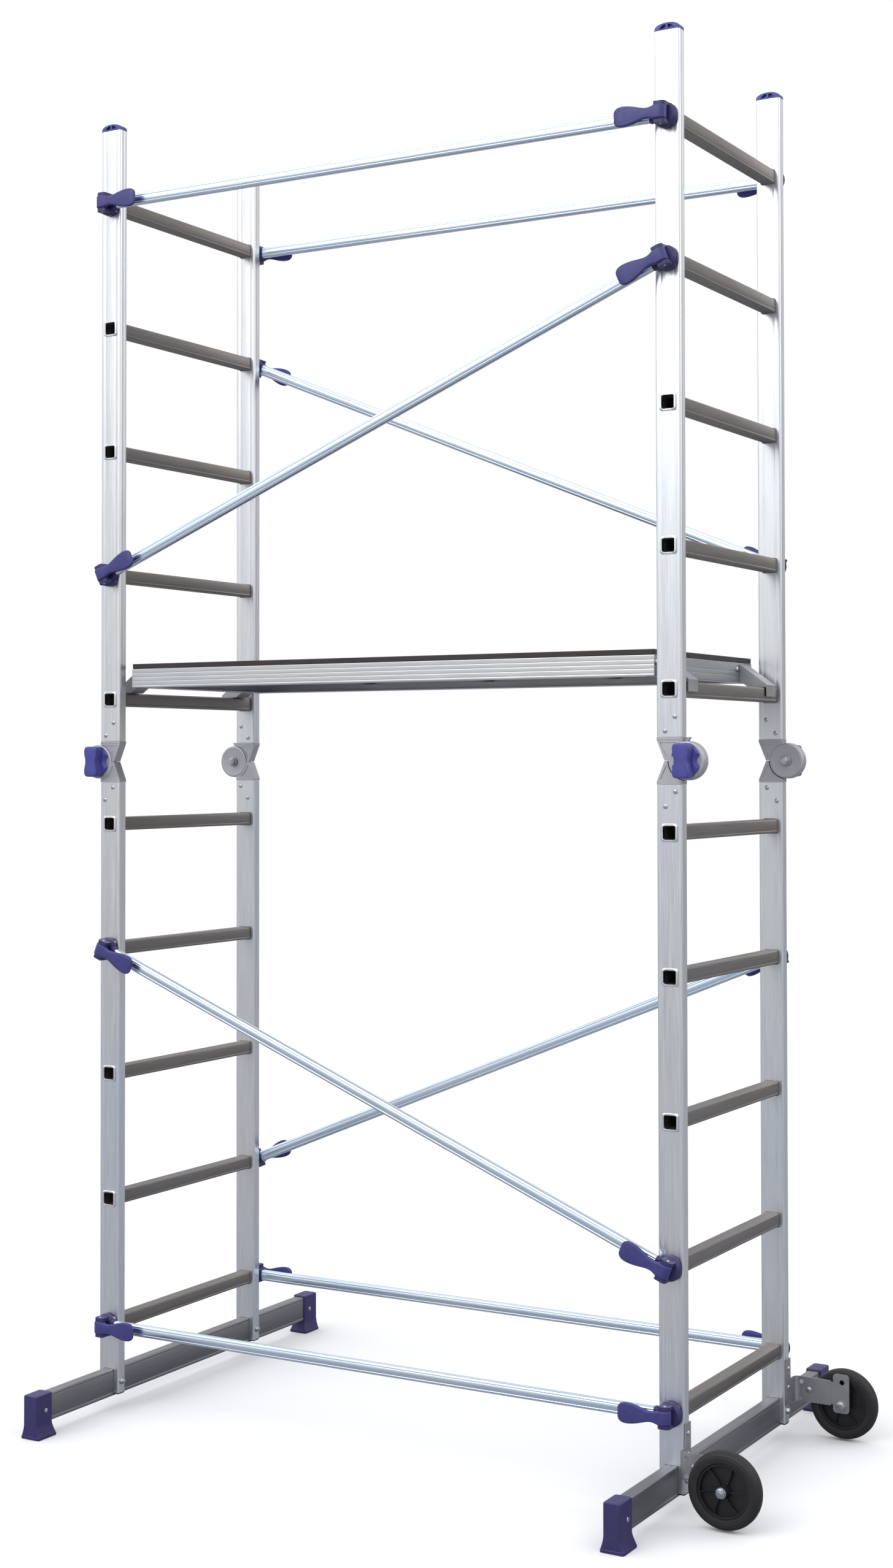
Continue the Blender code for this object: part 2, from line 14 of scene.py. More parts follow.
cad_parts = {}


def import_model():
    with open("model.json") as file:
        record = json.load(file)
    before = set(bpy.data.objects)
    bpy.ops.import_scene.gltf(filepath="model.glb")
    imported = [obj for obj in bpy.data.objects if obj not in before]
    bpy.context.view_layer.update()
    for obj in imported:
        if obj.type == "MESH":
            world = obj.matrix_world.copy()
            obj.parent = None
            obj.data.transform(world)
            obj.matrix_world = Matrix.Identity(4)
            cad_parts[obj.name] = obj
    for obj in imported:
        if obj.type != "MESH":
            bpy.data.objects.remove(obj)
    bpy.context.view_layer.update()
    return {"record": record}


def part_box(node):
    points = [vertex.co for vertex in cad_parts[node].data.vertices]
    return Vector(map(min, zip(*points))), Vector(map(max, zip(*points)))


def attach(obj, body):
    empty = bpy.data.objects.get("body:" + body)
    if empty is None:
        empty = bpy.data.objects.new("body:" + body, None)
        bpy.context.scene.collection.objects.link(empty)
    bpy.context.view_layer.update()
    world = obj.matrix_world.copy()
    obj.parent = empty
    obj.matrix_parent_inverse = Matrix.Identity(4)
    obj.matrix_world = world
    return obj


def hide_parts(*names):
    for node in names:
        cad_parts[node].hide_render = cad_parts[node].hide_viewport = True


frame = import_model()
JOINTS = {joint["name"]: joint for joint in frame["record"]["behaviour"]["joints"]}


def middle(name):
    low, high = (Vector(corner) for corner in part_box(name))
    return (low + high) / 2


def size(name):
    low, high = (Vector(corner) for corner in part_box(name))
    return high - low


# ---- sizes and places read from the frame
POST = "right_lower_back_stile"
POST_LOW, POST_HIGH = (Vector(corner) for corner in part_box(POST))
CENTRE_X = (middle(POST).x + middle("left_lower_front_stile").x) / 2
HALF_SPAN = middle(POST).x - CENTRE_X
STILE_W, STILE_T = size(POST).x, size(POST).y
FRONT = -POST_HIGH.y
STILE_BOTTOM = POST_LOW.z
FOLD_LOW = POST_HIGH.z
FOLD_HIGH = Vector(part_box("right_upper_back_stile")[0]).z
STILE_TOP = Vector(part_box("right_upper_back_stile")[1]).z
HINGE_X = JOINTS["right_frame_fold"]["pos_m"][0] - CENTRE_X
HINGE_Z = JOINTS["right_frame_fold"]["pos_m"][2]
HINGE_OUT = HINGE_X - HALF_SPAN
CAST_END = HINGE_Z - FOLD_LOW
RUNG_1 = JOINTS["front_bottom_rail_left_lever_swing"]["pos_m"][2]
RUNG_10 = JOINTS["front_top_rail_left_lever_swing"]["pos_m"][2]
RUNG_PITCH = (RUNG_10 - RUNG_1) / 9
PIN_OUT = FRONT - JOINTS["front_top_rail_left_lever_swing"]["pos_m"][1]
WHEEL_X = JOINTS["front_wheel_spin"]["pos_m"][0] - CENTRE_X
WHEEL_Z = JOINTS["front_wheel_spin"]["pos_m"][2]
WHEEL_Y = JOINTS["back_wheel_spin"]["pos_m"][1]
WHEEL_R = size("back_wheel").z / 2
STILE_MID = FRONT + STILE_T / 2
INBOARD = -HINGE_OUT - STILE_W / 2      # the stile's inboard edge, from the fold axis

TOWER = "lower_tower"                   # the body that stands on the floor

# ---- sizes of the small features
WALL, GAP = 0.002, 0.0003
PAST = 0.01              # how far a cutter runs past the solid it cuts
SUNK = 0.0002            # how far a rivet's or a screw's dome sits in its face
STILE_CORNER = 0.0042
RUNG_W, RUNG_CORNER, LIP_W, LIP_T = 0.030, 0.004, 0.0355, 0.0028
DISC_R, APEX = 0.038, 0.0167         # APEX is where the castings meet, in from the inboard edge
BOLT_R, BORE_R = 0.006, 0.0064
KNOB_R, KNOB_BASE_T, KNOB_W, KNOB_H, KNOB_DEPTH = 0.031, 0.006, 0.035, 0.069, 0.028
COLLAR_R, COLLAR_T = 0.025, 0.014
SOCKET_NEAR, SOCKET_FAR, SOCKET_W, SOCKET_T = 0.0190, 0.029, 0.029, 0.0165
TUBE_W, TUBE_T, TUBE_CORNER = 0.0255, 0.015, 0.0052
LEVER_HUB_R, LEVER_HUB_W, EAR_IN, EAR_T = 0.0125, 0.027, 0.0138, 0.0075
LEVER_LENGTH, PADDLE_W = 0.097, 0.040
FOOT_W, FOOT_LENGTH, FOOT_H, PAD_W, PAD_LENGTH = 0.036, 0.054, 0.0925, 0.050, 0.060
WHEEL_T, HUB_BOSS, WHEEL_PLAY = 0.032, 0.0045, 0.0035
PIN_R, PIN_PLAY = 0.0029, 0.0002
SHEET_T, BEND = 0.0025, 0.010


# ---- outlines
def section(width, height, corner, on_x=(), on_y=(), centre=(0, 0), steps=5):
    """A rectangle with round corners. Each groove (middle, half width, depth) runs down two faces.

    on_x is for the two faces that look along the first axis, and on_y for the other two.
    """
    points = []
    for k, way in enumerate((1, -1, -1, 1)):
        out = Vector((math.cos(math.pi / 2 * k), math.sin(math.pi / 2 * k)))
        along = Vector((-out.y, out.x))
        rise, reach, grooves = width / 2, height / 2, on_x
        if k % 2:
            rise, reach, grooves = reach, rise, on_y
        face = [(corner - reach, 0.0)]
        for place, half, depth in sorted(grooves, key=lambda groove: groove[0] * way):
            for share in (-1, -0.5, 0, 0.5, 1):
                face.append((place * way + half * share, depth * math.cos(math.pi / 2 * share) ** 2))
        for s, depth in face:
            points.append(out * (rise - depth) + along * s)
        hub = out * (rise - corner) + along * (reach - corner)
        for i in range(steps):
            angle = math.pi / 2 * (k + i / steps)
            points.append(hub + corner * Vector((math.cos(angle), math.sin(angle))))
    return [(centre[0] + p.x, centre[1] + p.y) for p in points]


def rectangle(left, right, low, high):
    return [(left, low), (right, low), (right, high), (left, high)]


def circle(radius, sides=40, centre=(0, 0)):
    return [
        (centre[0] + radius * math.cos(a), centre[1] + radius * math.sin(a))
        for a in (2 * math.pi * (i + 0.5) / sides for i in range(sides))
    ]


def smooth_path(points, steps=6):
    """Points on a Catmull-Rom curve through the given points, of any dimension."""
    made = []
    last = len(points) - 1
    for i in range(last):
        p0, p1, p2, p3 = (points[min(max(i + d, 0), last)] for d in (-1, 0, 1, 2))
        for k in range(steps):
            t = k / steps
            made.append(tuple(
                0.5 * (2 * b + (c - a) * t + (2 * a - 5 * b + 4 * c - d) * t * t
                       + (3 * b - a - 3 * c + d) * t ** 3)
                for a, b, c, d in zip(p0, p1, p2, p3)
            ))
    return made + [tuple(points[-1])]


# ---- solids
def added(name, data):
    """A new object in the scene."""
    made = bpy.data.objects.new(name, data)
    bpy.context.scene.collection.objects.link(made)
    return made


def finished(bm):
    bmesh.ops.recalc_face_normals(bm, faces=bm.faces)
    mesh = bpy.data.meshes.new("solid")
    bm.to_mesh(mesh)
    bm.free()
    return mesh


def loft(rings, closed=False):
    """A solid through rings of points, with its two ends capped, or closed on its own start."""
    bm = bmesh.new()
    made = [[bm.verts.new(point) for point in ring] for ring in rings]
    count = len(made[0])
    pairs = list(zip(made, made[1:])) + ([(made[-1], made[0])] if closed else [])
    for low, high in pairs:
        for i in range(count):
            j = (i + 1) % count
            bm.faces.new((low[i], low[j], high[j], high[i]))
    if not closed:
        bm.faces.new(made[0])
        bm.faces.new(made[-1])
    return finished(bm)


def placed(outline, axis, t):
    """The outline's points at a place along an axis: they are (y, z), (x, z) or (x, y)."""
    order = {"X": lambda a, b: (t, a, b), "Y": lambda a, b: (a, t, b), "Z": lambda a, b: (a, b, t)}[axis]
    return [order(a, b) for a, b in outline]


def extrude(outline, axis, near, far):
    return loft([placed(outline, axis, near), placed(outline, axis, far)])


def turned(profile, sides):
    """The closed profile of (radius, place on the axis) points turned about the Y axis."""
    return loft([
        [(r * math.cos(a), y, r * math.sin(a)) for r, y in profile]
        for a in (2 * math.pi * i / sides for i in range(sides))
    ], closed=True)


def solid_turned(profile, sides):
    """An open profile of (radius, y) points turned about the Y axis, with flat ends: a closed solid."""
    return loft([
        [(r * math.cos(a), y, r * math.sin(a)) for a in (2 * math.pi * i / sides for i in range(sides))]
        for r, y in profile
    ])


def rod(radius, near, far, sides):
    return solid_turned(((radius, near), (radius, far)), sides)


def scaled_prism(outline, axis, stations, centre=(0, 0)):
    """The outline drawn along an axis, at each station (place, scale) grown about a centre."""
    return loft([
        placed([tuple(c + (p - c) * scale for p, c in zip(point, centre)) for point in outline], axis, t)
        for t, scale in stations
    ])


def moved(mesh, offset=(0, 0, 0), turn=0.0, axis="Z"):
    copy = mesh.copy()
    copy.transform(Matrix.Translation(Vector(offset)) @ Matrix.Rotation(turn, 4, axis))
    return copy


def mirrored(mesh):
    """The mesh with its Y turned over."""
    copy = mesh.copy()
    copy.transform(Matrix.Scale(-1, 4, (0, 1, 0)))
    copy.flip_normals()
    return copy


def combined(first, add=(), cut=()):
    """The first solid with others joined on and then others cut away, as one mesh."""
    body, helpers = added("body", first), []
    for operation, meshes in (("UNION", add), ("DIFFERENCE", cut)):
        for mesh in meshes:
            helpers.append(added("helper", mesh))
            step = body.modifiers.new(operation.lower(), "BOOLEAN")
            step.operation = operation
            step.object = helpers[-1]
    graph = bpy.context.evaluated_depsgraph_get()
    result = bpy.data.meshes.new_from_object(body.evaluated_get(graph))
    for used in (body, *helpers):
        bpy.data.objects.remove(used)
    return result


def group(meshes):
    """Separate solids in one mesh."""
    bm = bmesh.new()
    for mesh in meshes:
        bm.from_mesh(mesh)
    made = bpy.data.meshes.new("group")
    bm.to_mesh(made)
    bm.free()
    return made


# ---- materials
def material(name):
    made = bpy.data.materials.new(name)
    made.use_nodes = True
    return made, made.node_tree, made.node_tree.nodes["Principled BSDF"]


def fill(tree, made, inputs):
    """Gives each input of a node its value, or a link where the value is an output of another node."""
    for name, value in inputs.items():
        if isinstance(value, bpy.types.NodeSocket):
            tree.links.new(value, made.inputs[name])
        else:
            made.inputs[name].default_value = value


def node(tree, kind, inputs=None):
    made = tree.nodes.new("ShaderNode" + kind)
    fill(tree, made, inputs or {})
    return made


def noise(tree, stretch, scale, detail):
    """A noise texture on the object's own coordinates, drawn out along the axes with a small stretch."""
    place = node(tree, "TexCoord").outputs["Object"]
    mapping = node(tree, "Mapping", {"Vector": place, "Scale": stretch})
    texture = node(tree, "TexNoise", {"Vector": mapping.outputs["Vector"], "Scale": scale, "Detail": detail})
    return texture.outputs["Fac"]


def ramp(tree, value, low, high, colours):
    """Colours spread over the part of the value between low and high."""
    made = node(tree, "ValToRGB", {"Fac": value})
    first, last = made.color_ramp.elements
    first.position, last.position = low, high
    first.color, last.color = ((*colour, 1) for colour in colours)
    return made.outputs["Color"]


def spread(tree, value, low, high):
    """The middle of a noise's range, spread from low to high."""
    limits = {"From Min": 0.3, "From Max": 0.7, "To Min": low, "To Max": high}
    return node(tree, "MapRange", {"Value": value, **limits}).outputs["Result"]


def mixed(tree, first, second, kind="MULTIPLY", factor=1.0):
    """Two colours mixed. Each colour and the factor can be a value or a link."""
    made = tree.nodes.new("ShaderNodeMix")
    made.data_type = "RGBA"
    made.blend_type = kind
    fill(tree, made, {"Factor": factor, 6: first, 7: second})      # 6 and 7 are its two colours
    return made.outputs[2]


def bumped(tree, shader, height, distance, strength=0.5):
    bump = node(tree, "Bump", {"Height": height, "Distance": distance, "Strength": strength})
    fill(tree, shader, {"Normal": bump.outputs["Normal"]})


def shade(colour, factor):
    return tuple(min(c * factor, 1.0) for c in colour)


def metal(name, colour, roughness, stretch, fine=900, contrast=0.10):
    """Extruded or brushed metal: fine lines along its length, over slow clouds of a warmer tone."""
    made, tree, shader = material(name)
    lines = noise(tree, stretch, fine, 6)
    clouds = noise(tree, tuple(0.2 + 0.8 * s for s in stretch), 9, 3)
    streaks = ramp(tree, lines, 0.3, 0.7, (shade(colour, 1 - contrast), shade(colour, 1 + contrast / 2)))
    tone = ramp(tree, clouds, 0.35, 0.7, ((0.93, 0.96, 1.0), (1.0, 0.985, 0.955)))
    fill(tree, shader, {
        "Base Color": mixed(tree, streaks, tone), "Metallic": 1.0,
        "Roughness": spread(tree, lines, roughness - 0.05, roughness + 0.07),
    })
    bumped(tree, shader, lines, 0.00006, 0.35)
    return made


def cast_metal(name, colour, roughness, metallic=0.75, grain=1400):
    """Die-cast or plated metal: a fine even grain, and a little dirt in slow clouds."""
    made, tree, shader = material(name)
    fine = noise(tree, EVEN, grain, 4)
    clouds = noise(tree, EVEN, 35, 4)
    grains = ramp(tree, fine, 0.3, 0.7, (shade(colour, 0.88), shade(colour, 1.08)))
    tone = ramp(tree, clouds, 0.3, 0.7, ((0.9, 0.9, 0.92), (1.0, 1.0, 1.0)))
    fill(tree, shader, {
        "Base Color": mixed(tree, grains, tone), "Metallic": metallic,
        "Roughness": spread(tree, clouds, roughness - 0.06, roughness + 0.08),
    })
    bumped(tree, shader, fine, 0.00012)
    return made


def plastic(name, colour, roughness, contrast=0.10, grain=1600, relief=0.0001):
    """Moulded plastic or rubber: spark-eroded grain with soft scuffs."""
    made, tree, shader = material(name)
    fine = noise(tree, EVEN, grain, 3)
    scuffs = noise(tree, EVEN, 60, 6)
    tones = (shade(colour, 1 - contrast), shade(colour, 1 + contrast))
    fill(tree, shader, {
        "Base Color": ramp(tree, scuffs, 0.3, 0.72, tones),
        "Roughness": spread(tree, scuffs, roughness - 0.06, roughness + 0.08),
    })
    bumped(tree, shader, fine, relief)
    return made


def coated_plywood(name):
    """Dark film-faced plywood: a wire-mesh print on its faces and veneer layers on its edges."""
    made, tree, shader = material(name)
    place = node(tree, "TexCoord").outputs["Object"]

    def bands(axis, inputs):
        wave = node(tree, "TexWave", {"Vector": place, **inputs})
        wave.bands_direction = axis
        return wave

    weave = [bands(axis, {"Scale": 52}).outputs["Color"] for axis in ("X", "Y")]
    mesh_print = mixed(tree, *weave, "LIGHTEN")
    layers = bands("Z", {"Scale": 145, "Distortion": 1.2})
    normal = node(tree, "SeparateXYZ", {"Vector": node(tree, "NewGeometry").outputs["Normal"]})
    upright = node(tree, "Math", {0: normal.outputs["Z"]})
    upright.operation = "ABSOLUTE"
    film = ramp(tree, mesh_print, 0.2, 0.9, ((0.020, 0.014, 0.013), (0.036, 0.026, 0.024)))
    edge = ramp(tree, layers.outputs["Fac"], 0.2, 0.8, ((0.017, 0.011, 0.011), (0.046, 0.031, 0.028)))
    chosen = mixed(tree, edge, film, "MIX", upright.outputs["Value"])
    dust = ramp(tree, noise(tree, EVEN, 14, 5), 0.3, 0.75, ((0.85, 0.85, 0.85), (1.0, 1.0, 1.0)))
    fill(tree, shader, {
        "Base Color": mixed(tree, chosen, dust),
        "Roughness": spread(tree, noise(tree, EVEN, 30, 4), 0.42, 0.6),
    })
    bumped(tree, shader, mesh_print, 0.0004, 0.6)
    return made


ALONG_X, ALONG_Y, ALONG_Z, EVEN = (0.012, 1, 1), (1, 0.012, 1), (1, 1, 0.012), (1, 1, 1)
FINISHES = {
    "stile": ("aluminium", metal("stile_aluminium", (0.80, 0.82, 0.85), 0.33, ALONG_Z)),
    "rail": ("aluminium", metal("rail_aluminium", (0.68, 0.69, 0.70), 0.32, ALONG_X)),
    "rail_end": ("aluminium", metal("rail_end_aluminium", (0.52, 0.53, 0.55), 0.36, ALONG_Y)),
    "rung": ("rung_aluminium", metal("rung_aluminium", (0.29, 0.265, 0.25), 0.50, ALONG_Y, contrast=0.16)),
    "lip": ("aluminium", metal("rung_end_aluminium", (0.86, 0.88, 0.90), 0.22, EVEN, fine=500)),
    "bar": ("rung_aluminium", metal("bar_aluminium", (0.30, 0.295, 0.31), 0.46, ALONG_Y, contrast=0.14)),
    "brace": ("brace_aluminium",
              metal("brace_aluminium", (0.75, 0.85, 0.97), 0.26, ALONG_X, contrast=0.07)),
    "cast": ("cast_aluminium", cast_metal("cast_aluminium", (0.50, 0.50, 0.53), 0.52)),
    "bracket": ("bracket_steel", cast_metal("bracket_steel", (0.40, 0.40, 0.42), 0.46, 0.85)),
    "zinc": ("zinc_steel", cast_metal("zinc_steel", (0.52, 0.54, 0.57), 0.28, 1.0, 600)),
    "blue": ("blue_plastic", plastic("blue_plastic", (0.058, 0.060, 0.29), 0.42)),
    "lever_blue": ("blue_plastic", plastic("lever_blue_plastic", (0.042, 0.040, 0.190), 0.44)),
    "dark_blue": ("blue_plastic", plastic("clamp_blue_plastic", (0.030, 0.024, 0.115), 0.46)),
    "black": ("black_plastic", plastic("black_plastic", (0.015, 0.015, 0.017), 0.5)),
    "hub": ("wheel_plastic", plastic("wheel_plastic", (0.010, 0.010, 0.0115), 0.40)),
    "rubber": ("wheel_rubber", plastic("wheel_rubber", (0.012, 0.0115, 0.0135), 0.60, 0.16, 700, 0.0002)),
    "plywood": ("plywood", coated_plywood("film_faced_plywood")),
}


# ---- pieces
def piece(name, mesh, finish, body, nodes, place=Matrix(), bevel=0.0):
    """One visible piece, given in tower coordinates, on its body and in place of its CAD nodes."""
    made = added(name, mesh)
    made.matrix_world = Matrix.Translation((CENTRE_X, 0, 0)) @ place
    slot, look = FINISHES[finish]
    mesh.materials.clear()
    mesh.materials.append(look)
    mesh.shade_smooth()
    if bevel:
        edges = made.modifiers.new("edges", "BEVEL")
        edges.width = bevel
        edges.segments = 2
        edges.limit_method = "ANGLE"
        edges.angle_limit = math.radians(40)
        normals = made.modifiers.new("normals", "WEIGHTED_NORMAL")
        normals.keep_sharp = True
    else:
        mesh.set_sharp_from_angle(angle=math.radians(38))
    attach(made, body)
    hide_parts(*nodes)


def half_turn(turn):
    return Matrix.Rotation(turn, 4, "Z")


def ends(side):
    """The end of a side's frame whose stile carries the rungs, and its other end."""
    return ("front", "back") if side == "right" else ("back", "front")


def hexagon_head(radius, near, far):
    """A hexagon head or nut about the Y axis with its corners turned off, between two places on it."""
    way = math.copysign(1, far - near)
    shape = [(radius * math.cos(math.pi / 3 * i), radius * math.sin(math.pi / 3 * i)) for i in range(6)]
    return scaled_prism(shape, "Y", ((near, 1.0), (far - way * 0.0008, 1.0), (far, 0.88)))


def round_bolt(radius, near, far):
    """A bolt's end about the Y axis with a chamfered tip at far."""
    way = math.copysign(1, far - near)
    return solid_turned(((radius, near), (radius, far - way * 0.001), (radius * 0.82, far)), 24)


def rivet(x, y, z, way):
    """A blind rivet's dome on a face that looks along Y, with the small hole its mandrel leaves."""
    profile = (
        (0.0049, 0), (0.0049, 0.0005), (0.0041, 0.0013), (0.0026, 0.0019), (0.0015, 0.0020), (0.0012, 0.0012),
    )
    return moved(solid_turned([(r, h * way) for r, h in profile], 20), (x, y, z))


# ---- stiles and rungs
STILE_GROOVES = [(s * STILE_W * 0.27, 0.0042, 0.00045) for s in (-1, 1)]
EDGE_GROOVE = [(0.0, 0.0042, 0.00035)]
BAR_LOW, BAR_HIGH = (Vector(corner) - Vector((CENTRE_X, 0, 0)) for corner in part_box("right_base_bar"))


def stile_bore(gap, middle_x, middle_y):
    """The outline inside a stile's walls, smaller by a gap."""
    width, height = STILE_W - 2 * WALL - gap, STILE_T - 2 * WALL - gap
    return section(width, height, 0.002, centre=(middle_x, middle_y), steps=2)


def bar_slot(low, high, middle_y):
    slot = rectangle(BAR_LOW.x - GAP, BAR_HIGH.x + GAP, low - PAST, high)
    return extrude(slot, "Y", middle_y - STILE_T, middle_y + STILE_T)


def stile(low, high, middle_y):
    """A fluted stile tube with a square hole through it for each rung and, at the foot, the bar's slot."""
    outline = section(STILE_W, STILE_T, STILE_CORNER, EDGE_GROOVE, STILE_GROOVES, (HALF_SPAN, middle_y))
    cut = [extrude(stile_bore(0, HALF_SPAN, middle_y), "Z", low - PAST, high + PAST)]
    for number in range(1, 11):
        z = RUNG_1 + RUNG_PITCH * (number - 1)
        if low < z < high:
            hole = section(RUNG_W + 2 * GAP, RUNG_W + 2 * GAP, RUNG_CORNER, centre=(HALF_SPAN, z), steps=3)
            cut.append(extrude(hole, "Y", middle_y - STILE_T, middle_y + STILE_T))
    if low < BAR_HIGH.z:
        cut.append(bar_slot(low, BAR_HIGH.z + GAP, middle_y))
    return combined(extrude(outline, "Z", low, high), (), cut)


def rung_ring(width, y, z, groove=0.0, corner=RUNG_CORNER):
    lines = [(-RUNG_W * 0.30, 0.0011, 0.0007 * groove)]
    tread = [(RUNG_W * 0.11 * k, 0.0013, 0.0005 * groove) for k in (-2, -1, 0, 1, 2)]
    return placed(section(width, width, corner, lines, tread, (HALF_SPAN, z)), "Y", y)


def rung_tube(z):
    """A hollow rung: a square tube with a groove low on its sides, a ribbed tread and a locking bead."""
    inside, face = RUNG_W - 0.0035, FRONT + STILE_T
    half = [
        (inside, FRONT + 0.0008, 0), (RUNG_W, FRONT + 0.0008, 0), (RUNG_W, face, 0),
        (RUNG_W + 0.0024, face + 0.0006, 0), (RUNG_W + 0.0026, face + 0.0026, 0.3),
        (RUNG_W, face + 0.0050, 1), (RUNG_W, 0, 1),
    ]
    outer = [rung_ring(w, y, z, g) for w, y, g in half]
    outer += [rung_ring(w, -y, z, g) for w, y, g in half[-2::-1]]
    return loft(outer, closed=True)


def rung_lip(z):
    """The swaged end of a rung: a bright rounded square ring, spread over the stile's face."""
    inside = RUNG_W - 0.0036
    shape = [
        (inside, FRONT + 0.006), (inside, FRONT - LIP_T * 0.75), (inside + 0.0012, FRONT - LIP_T),
        (LIP_W - 0.0028, FRONT - LIP_T), (LIP_W - 0.0008, FRONT - LIP_T * 0.72),
        (LIP_W, FRONT - LIP_T * 0.25), (LIP_W, FRONT - GAP), (RUNG_W - 0.0004, FRONT - GAP),
        (RUNG_W - 0.0008, FRONT + 0.006),
    ]
    return loft([rung_ring(w, y, z, 0, RUNG_CORNER + (w - RUNG_W) * 0.3) for w, y in shape], closed=True)


def end_plug(middle_y):
    """The black plug in a stile's foot, in two halves beside the bar's slot."""
    outline = section(STILE_W - 2 * GAP, STILE_T - 2 * GAP, 0.004, centre=(HALF_SPAN, middle_y))
    slab = extrude(outline, "Z", STILE_BOTTOM - 0.0028, STILE_BOTTOM - GAP)
    body = extrude(stile_bore(GAP, HALF_SPAN, middle_y), "Z", STILE_BOTTOM - 0.001, STILE_BOTTOM + 0.016)
    return combined(slab, [body], [bar_slot(STILE_BOTTOM, STILE_BOTTOM + 0.05, middle_y)])


def end_frame_pieces(side, turn):
    near, far = ends(side)
    place = half_turn(turn)
    for level, low, high, body, numbers in (
        ("lower", STILE_BOTTOM, FOLD_LOW, TOWER, range(1, 6)),
        ("upper", FOLD_HIGH, STILE_TOP, f"{side}_upper_frame", range(6, 11)),
    ):
        comb = f"{side}_{level}_stile_with_rungs"
        for end, y, cad in ((near, STILE_MID, comb), (far, -STILE_MID, f"{side}_{level}_{far}_stile")):
            piece(f"{side}_{level}_{end}_stile_tube", stile(low, high, y), "stile", body, [cad], place)
        for number in numbers:
            z = RUNG_1 + RUNG_PITCH * (number - 1)
            piece(f"{side}_rung_{number}", rung_tube(z), "rung", body, [comb], place)
            piece(f"{side}_rung_{number}_{near}_lip", rung_lip(z), "lip", body, [comb], place)
            piece(f"{side}_rung_{number}_{far}_lip", mirrored(rung_lip(z)), "lip", body, [comb], place)
    for end, y in ((near, STILE_MID), (far, -STILE_MID)):
        comb = f"{side}_lower_stile_with_rungs"
        piece(f"{side}_{end}_stile_plug", end_plug(y), "black", TOWER, [comb], place, 0.0006)


# ---- fold hinges
def panel_outline():
    """The sunk panel between a casting's slanted edge, its shoulder and the disc, about the fold axis."""
    top, bottom, ring = CAST_END - 0.0105, 0.009, DISC_R + 0.0035
    start, end = math.pi - math.asin(top / ring), math.pi - math.asin(bottom / ring)
    turns = (start + (end - start) * i / 10 for i in range(11))
    arc = [(ring * math.cos(a), ring * math.sin(a)) for a in turns]
    return [(INBOARD + 0.0065, top), *arc, (INBOARD + 0.0200, bottom)]


def disc_profile(back, front, rim):
    """The disc's closed section from its bore to a stepped and rounded rim, between two places on Y."""
    way = math.copysign(1, front - back)
    return [
        (BORE_R, back), (BORE_R, front - way * 0.001), (rim - 0.0085, front - way * 0.001),
        (rim - 0.0070, front), (rim - 0.0030, front), (rim - 0.0012, front - way * 0.0006),
        (rim - 0.0002, front - way * 0.0020), (rim, front - way * 0.0036), (rim, back),
    ]


def fold_casting(with_ear):
    """The upper half of a fold hinge about the fold axis. Its disc is the front half of its thickness."""
    half, outboard = STILE_T / 2, INBOARD + STILE_W
    apex = INBOARD + APEX
    outline = [
        (apex, GAP), (-0.004, GAP), (-0.004, DISC_R * 0.95), (outboard, DISC_R * 0.95),
        (outboard, CAST_END - GAP), (INBOARD, CAST_END - GAP), (INBOARD, CAST_END - 0.006),
    ]
    body = extrude(outline, "Y", -half + 0.001, half - 0.001)
    shoulder = section(STILE_W, STILE_T, STILE_CORNER, centre=(INBOARD + STILE_W / 2, 0))
    band = extrude(shoulder, "Z", CAST_END - 0.0055, CAST_END - GAP)
    disc = turned(disc_profile(-GAP, -half, DISC_R), 72)
    room = extrude(circle(DISC_R + 0.0012, 72), "Y", -GAP, half + PAST)
    outside, floor = half + PAST, half - 0.0024
    panels = [extrude(panel_outline(), "Y", *span) for span in ((-outside, -floor), (floor, outside))]
    add = [band, disc]
    if with_ear:
        ear = [
            (outboard - 0.002, DISC_R - 0.003), (outboard + 0.0065, DISC_R - 0.001),
            (outboard + 0.0115, CAST_END - 0.0006), (outboard - 0.002, CAST_END - 0.0006),
        ]
        add.append(extrude(ear, "Y", GAP, half - 0.003))
    bore = extrude(circle(BORE_R, 24), "Y", -STILE_T, STILE_T)
    return combined(combined(body, (), [room, *panels]), add, [bore])


def knob_wing():
    """The wing's outline: a tall block with a finger hollow down each side."""
    half_w, half_h, hollow = KNOB_W / 2, KNOB_H / 2, 0.0032
    upper = [
        (half_w * 0.45, half_h), (half_w * 0.84, half_h * 0.95), (half_w, half_h * 0.78),
        (half_w * 0.985, half_h * 0.5), (half_w - hollow, half_h * 0.12),
    ]
    right = smooth_path(upper + [(x, -z) for x, z in upper[::-1]], 5)
    return right + [(-x, -z) for x, z in right]


def hinge_knob():
    face = -STILE_T / 2 - GAP
    rim = ((KNOB_R * 0.6, face), (KNOB_R, face), (KNOB_R, face - 0.0042), (KNOB_R - 0.0008, face - 0.0056),
           (KNOB_R - 0.0024, face - KNOB_BASE_T), (KNOB_R * 0.6, face - KNOB_BASE_T))
    base = solid_turned(rim, 64)
    top = face - KNOB_DEPTH
    stations = (
        (face - 0.003, 1.0), (face - 0.012, 0.995), (top + 0.0030, 0.985), (top + 0.0013, 0.965),
        (top + 0.0003, 0.925), (top, 0.87),
    )
    wing = scaled_prism(knob_wing(), "Y", stations)
    scoops = []
    for way in (-1, 1):
        ball = bmesh.new()
        bmesh.ops.create_uvsphere(ball, u_segments=32, v_segments=20, radius=0.0200)
        scoops.append(moved(finished(ball), (way * 0.0335, face - 0.0170, 0)))
    return combined(base, [wing], scoops)


def hinge_bolt():
    """The bolt's end behind the hinge, with its washer and nut."""
    back = STILE_T / 2 + GAP
    return group([
        hexagon_head(0.0092, back + 0.0040, back + 0.0108),
        round_bolt(BOLT_R * 0.86, back + 0.0100, back + 0.0120),
        rod(BOLT_R, -STILE_T / 2, back + 0.0045, 24),
    ])


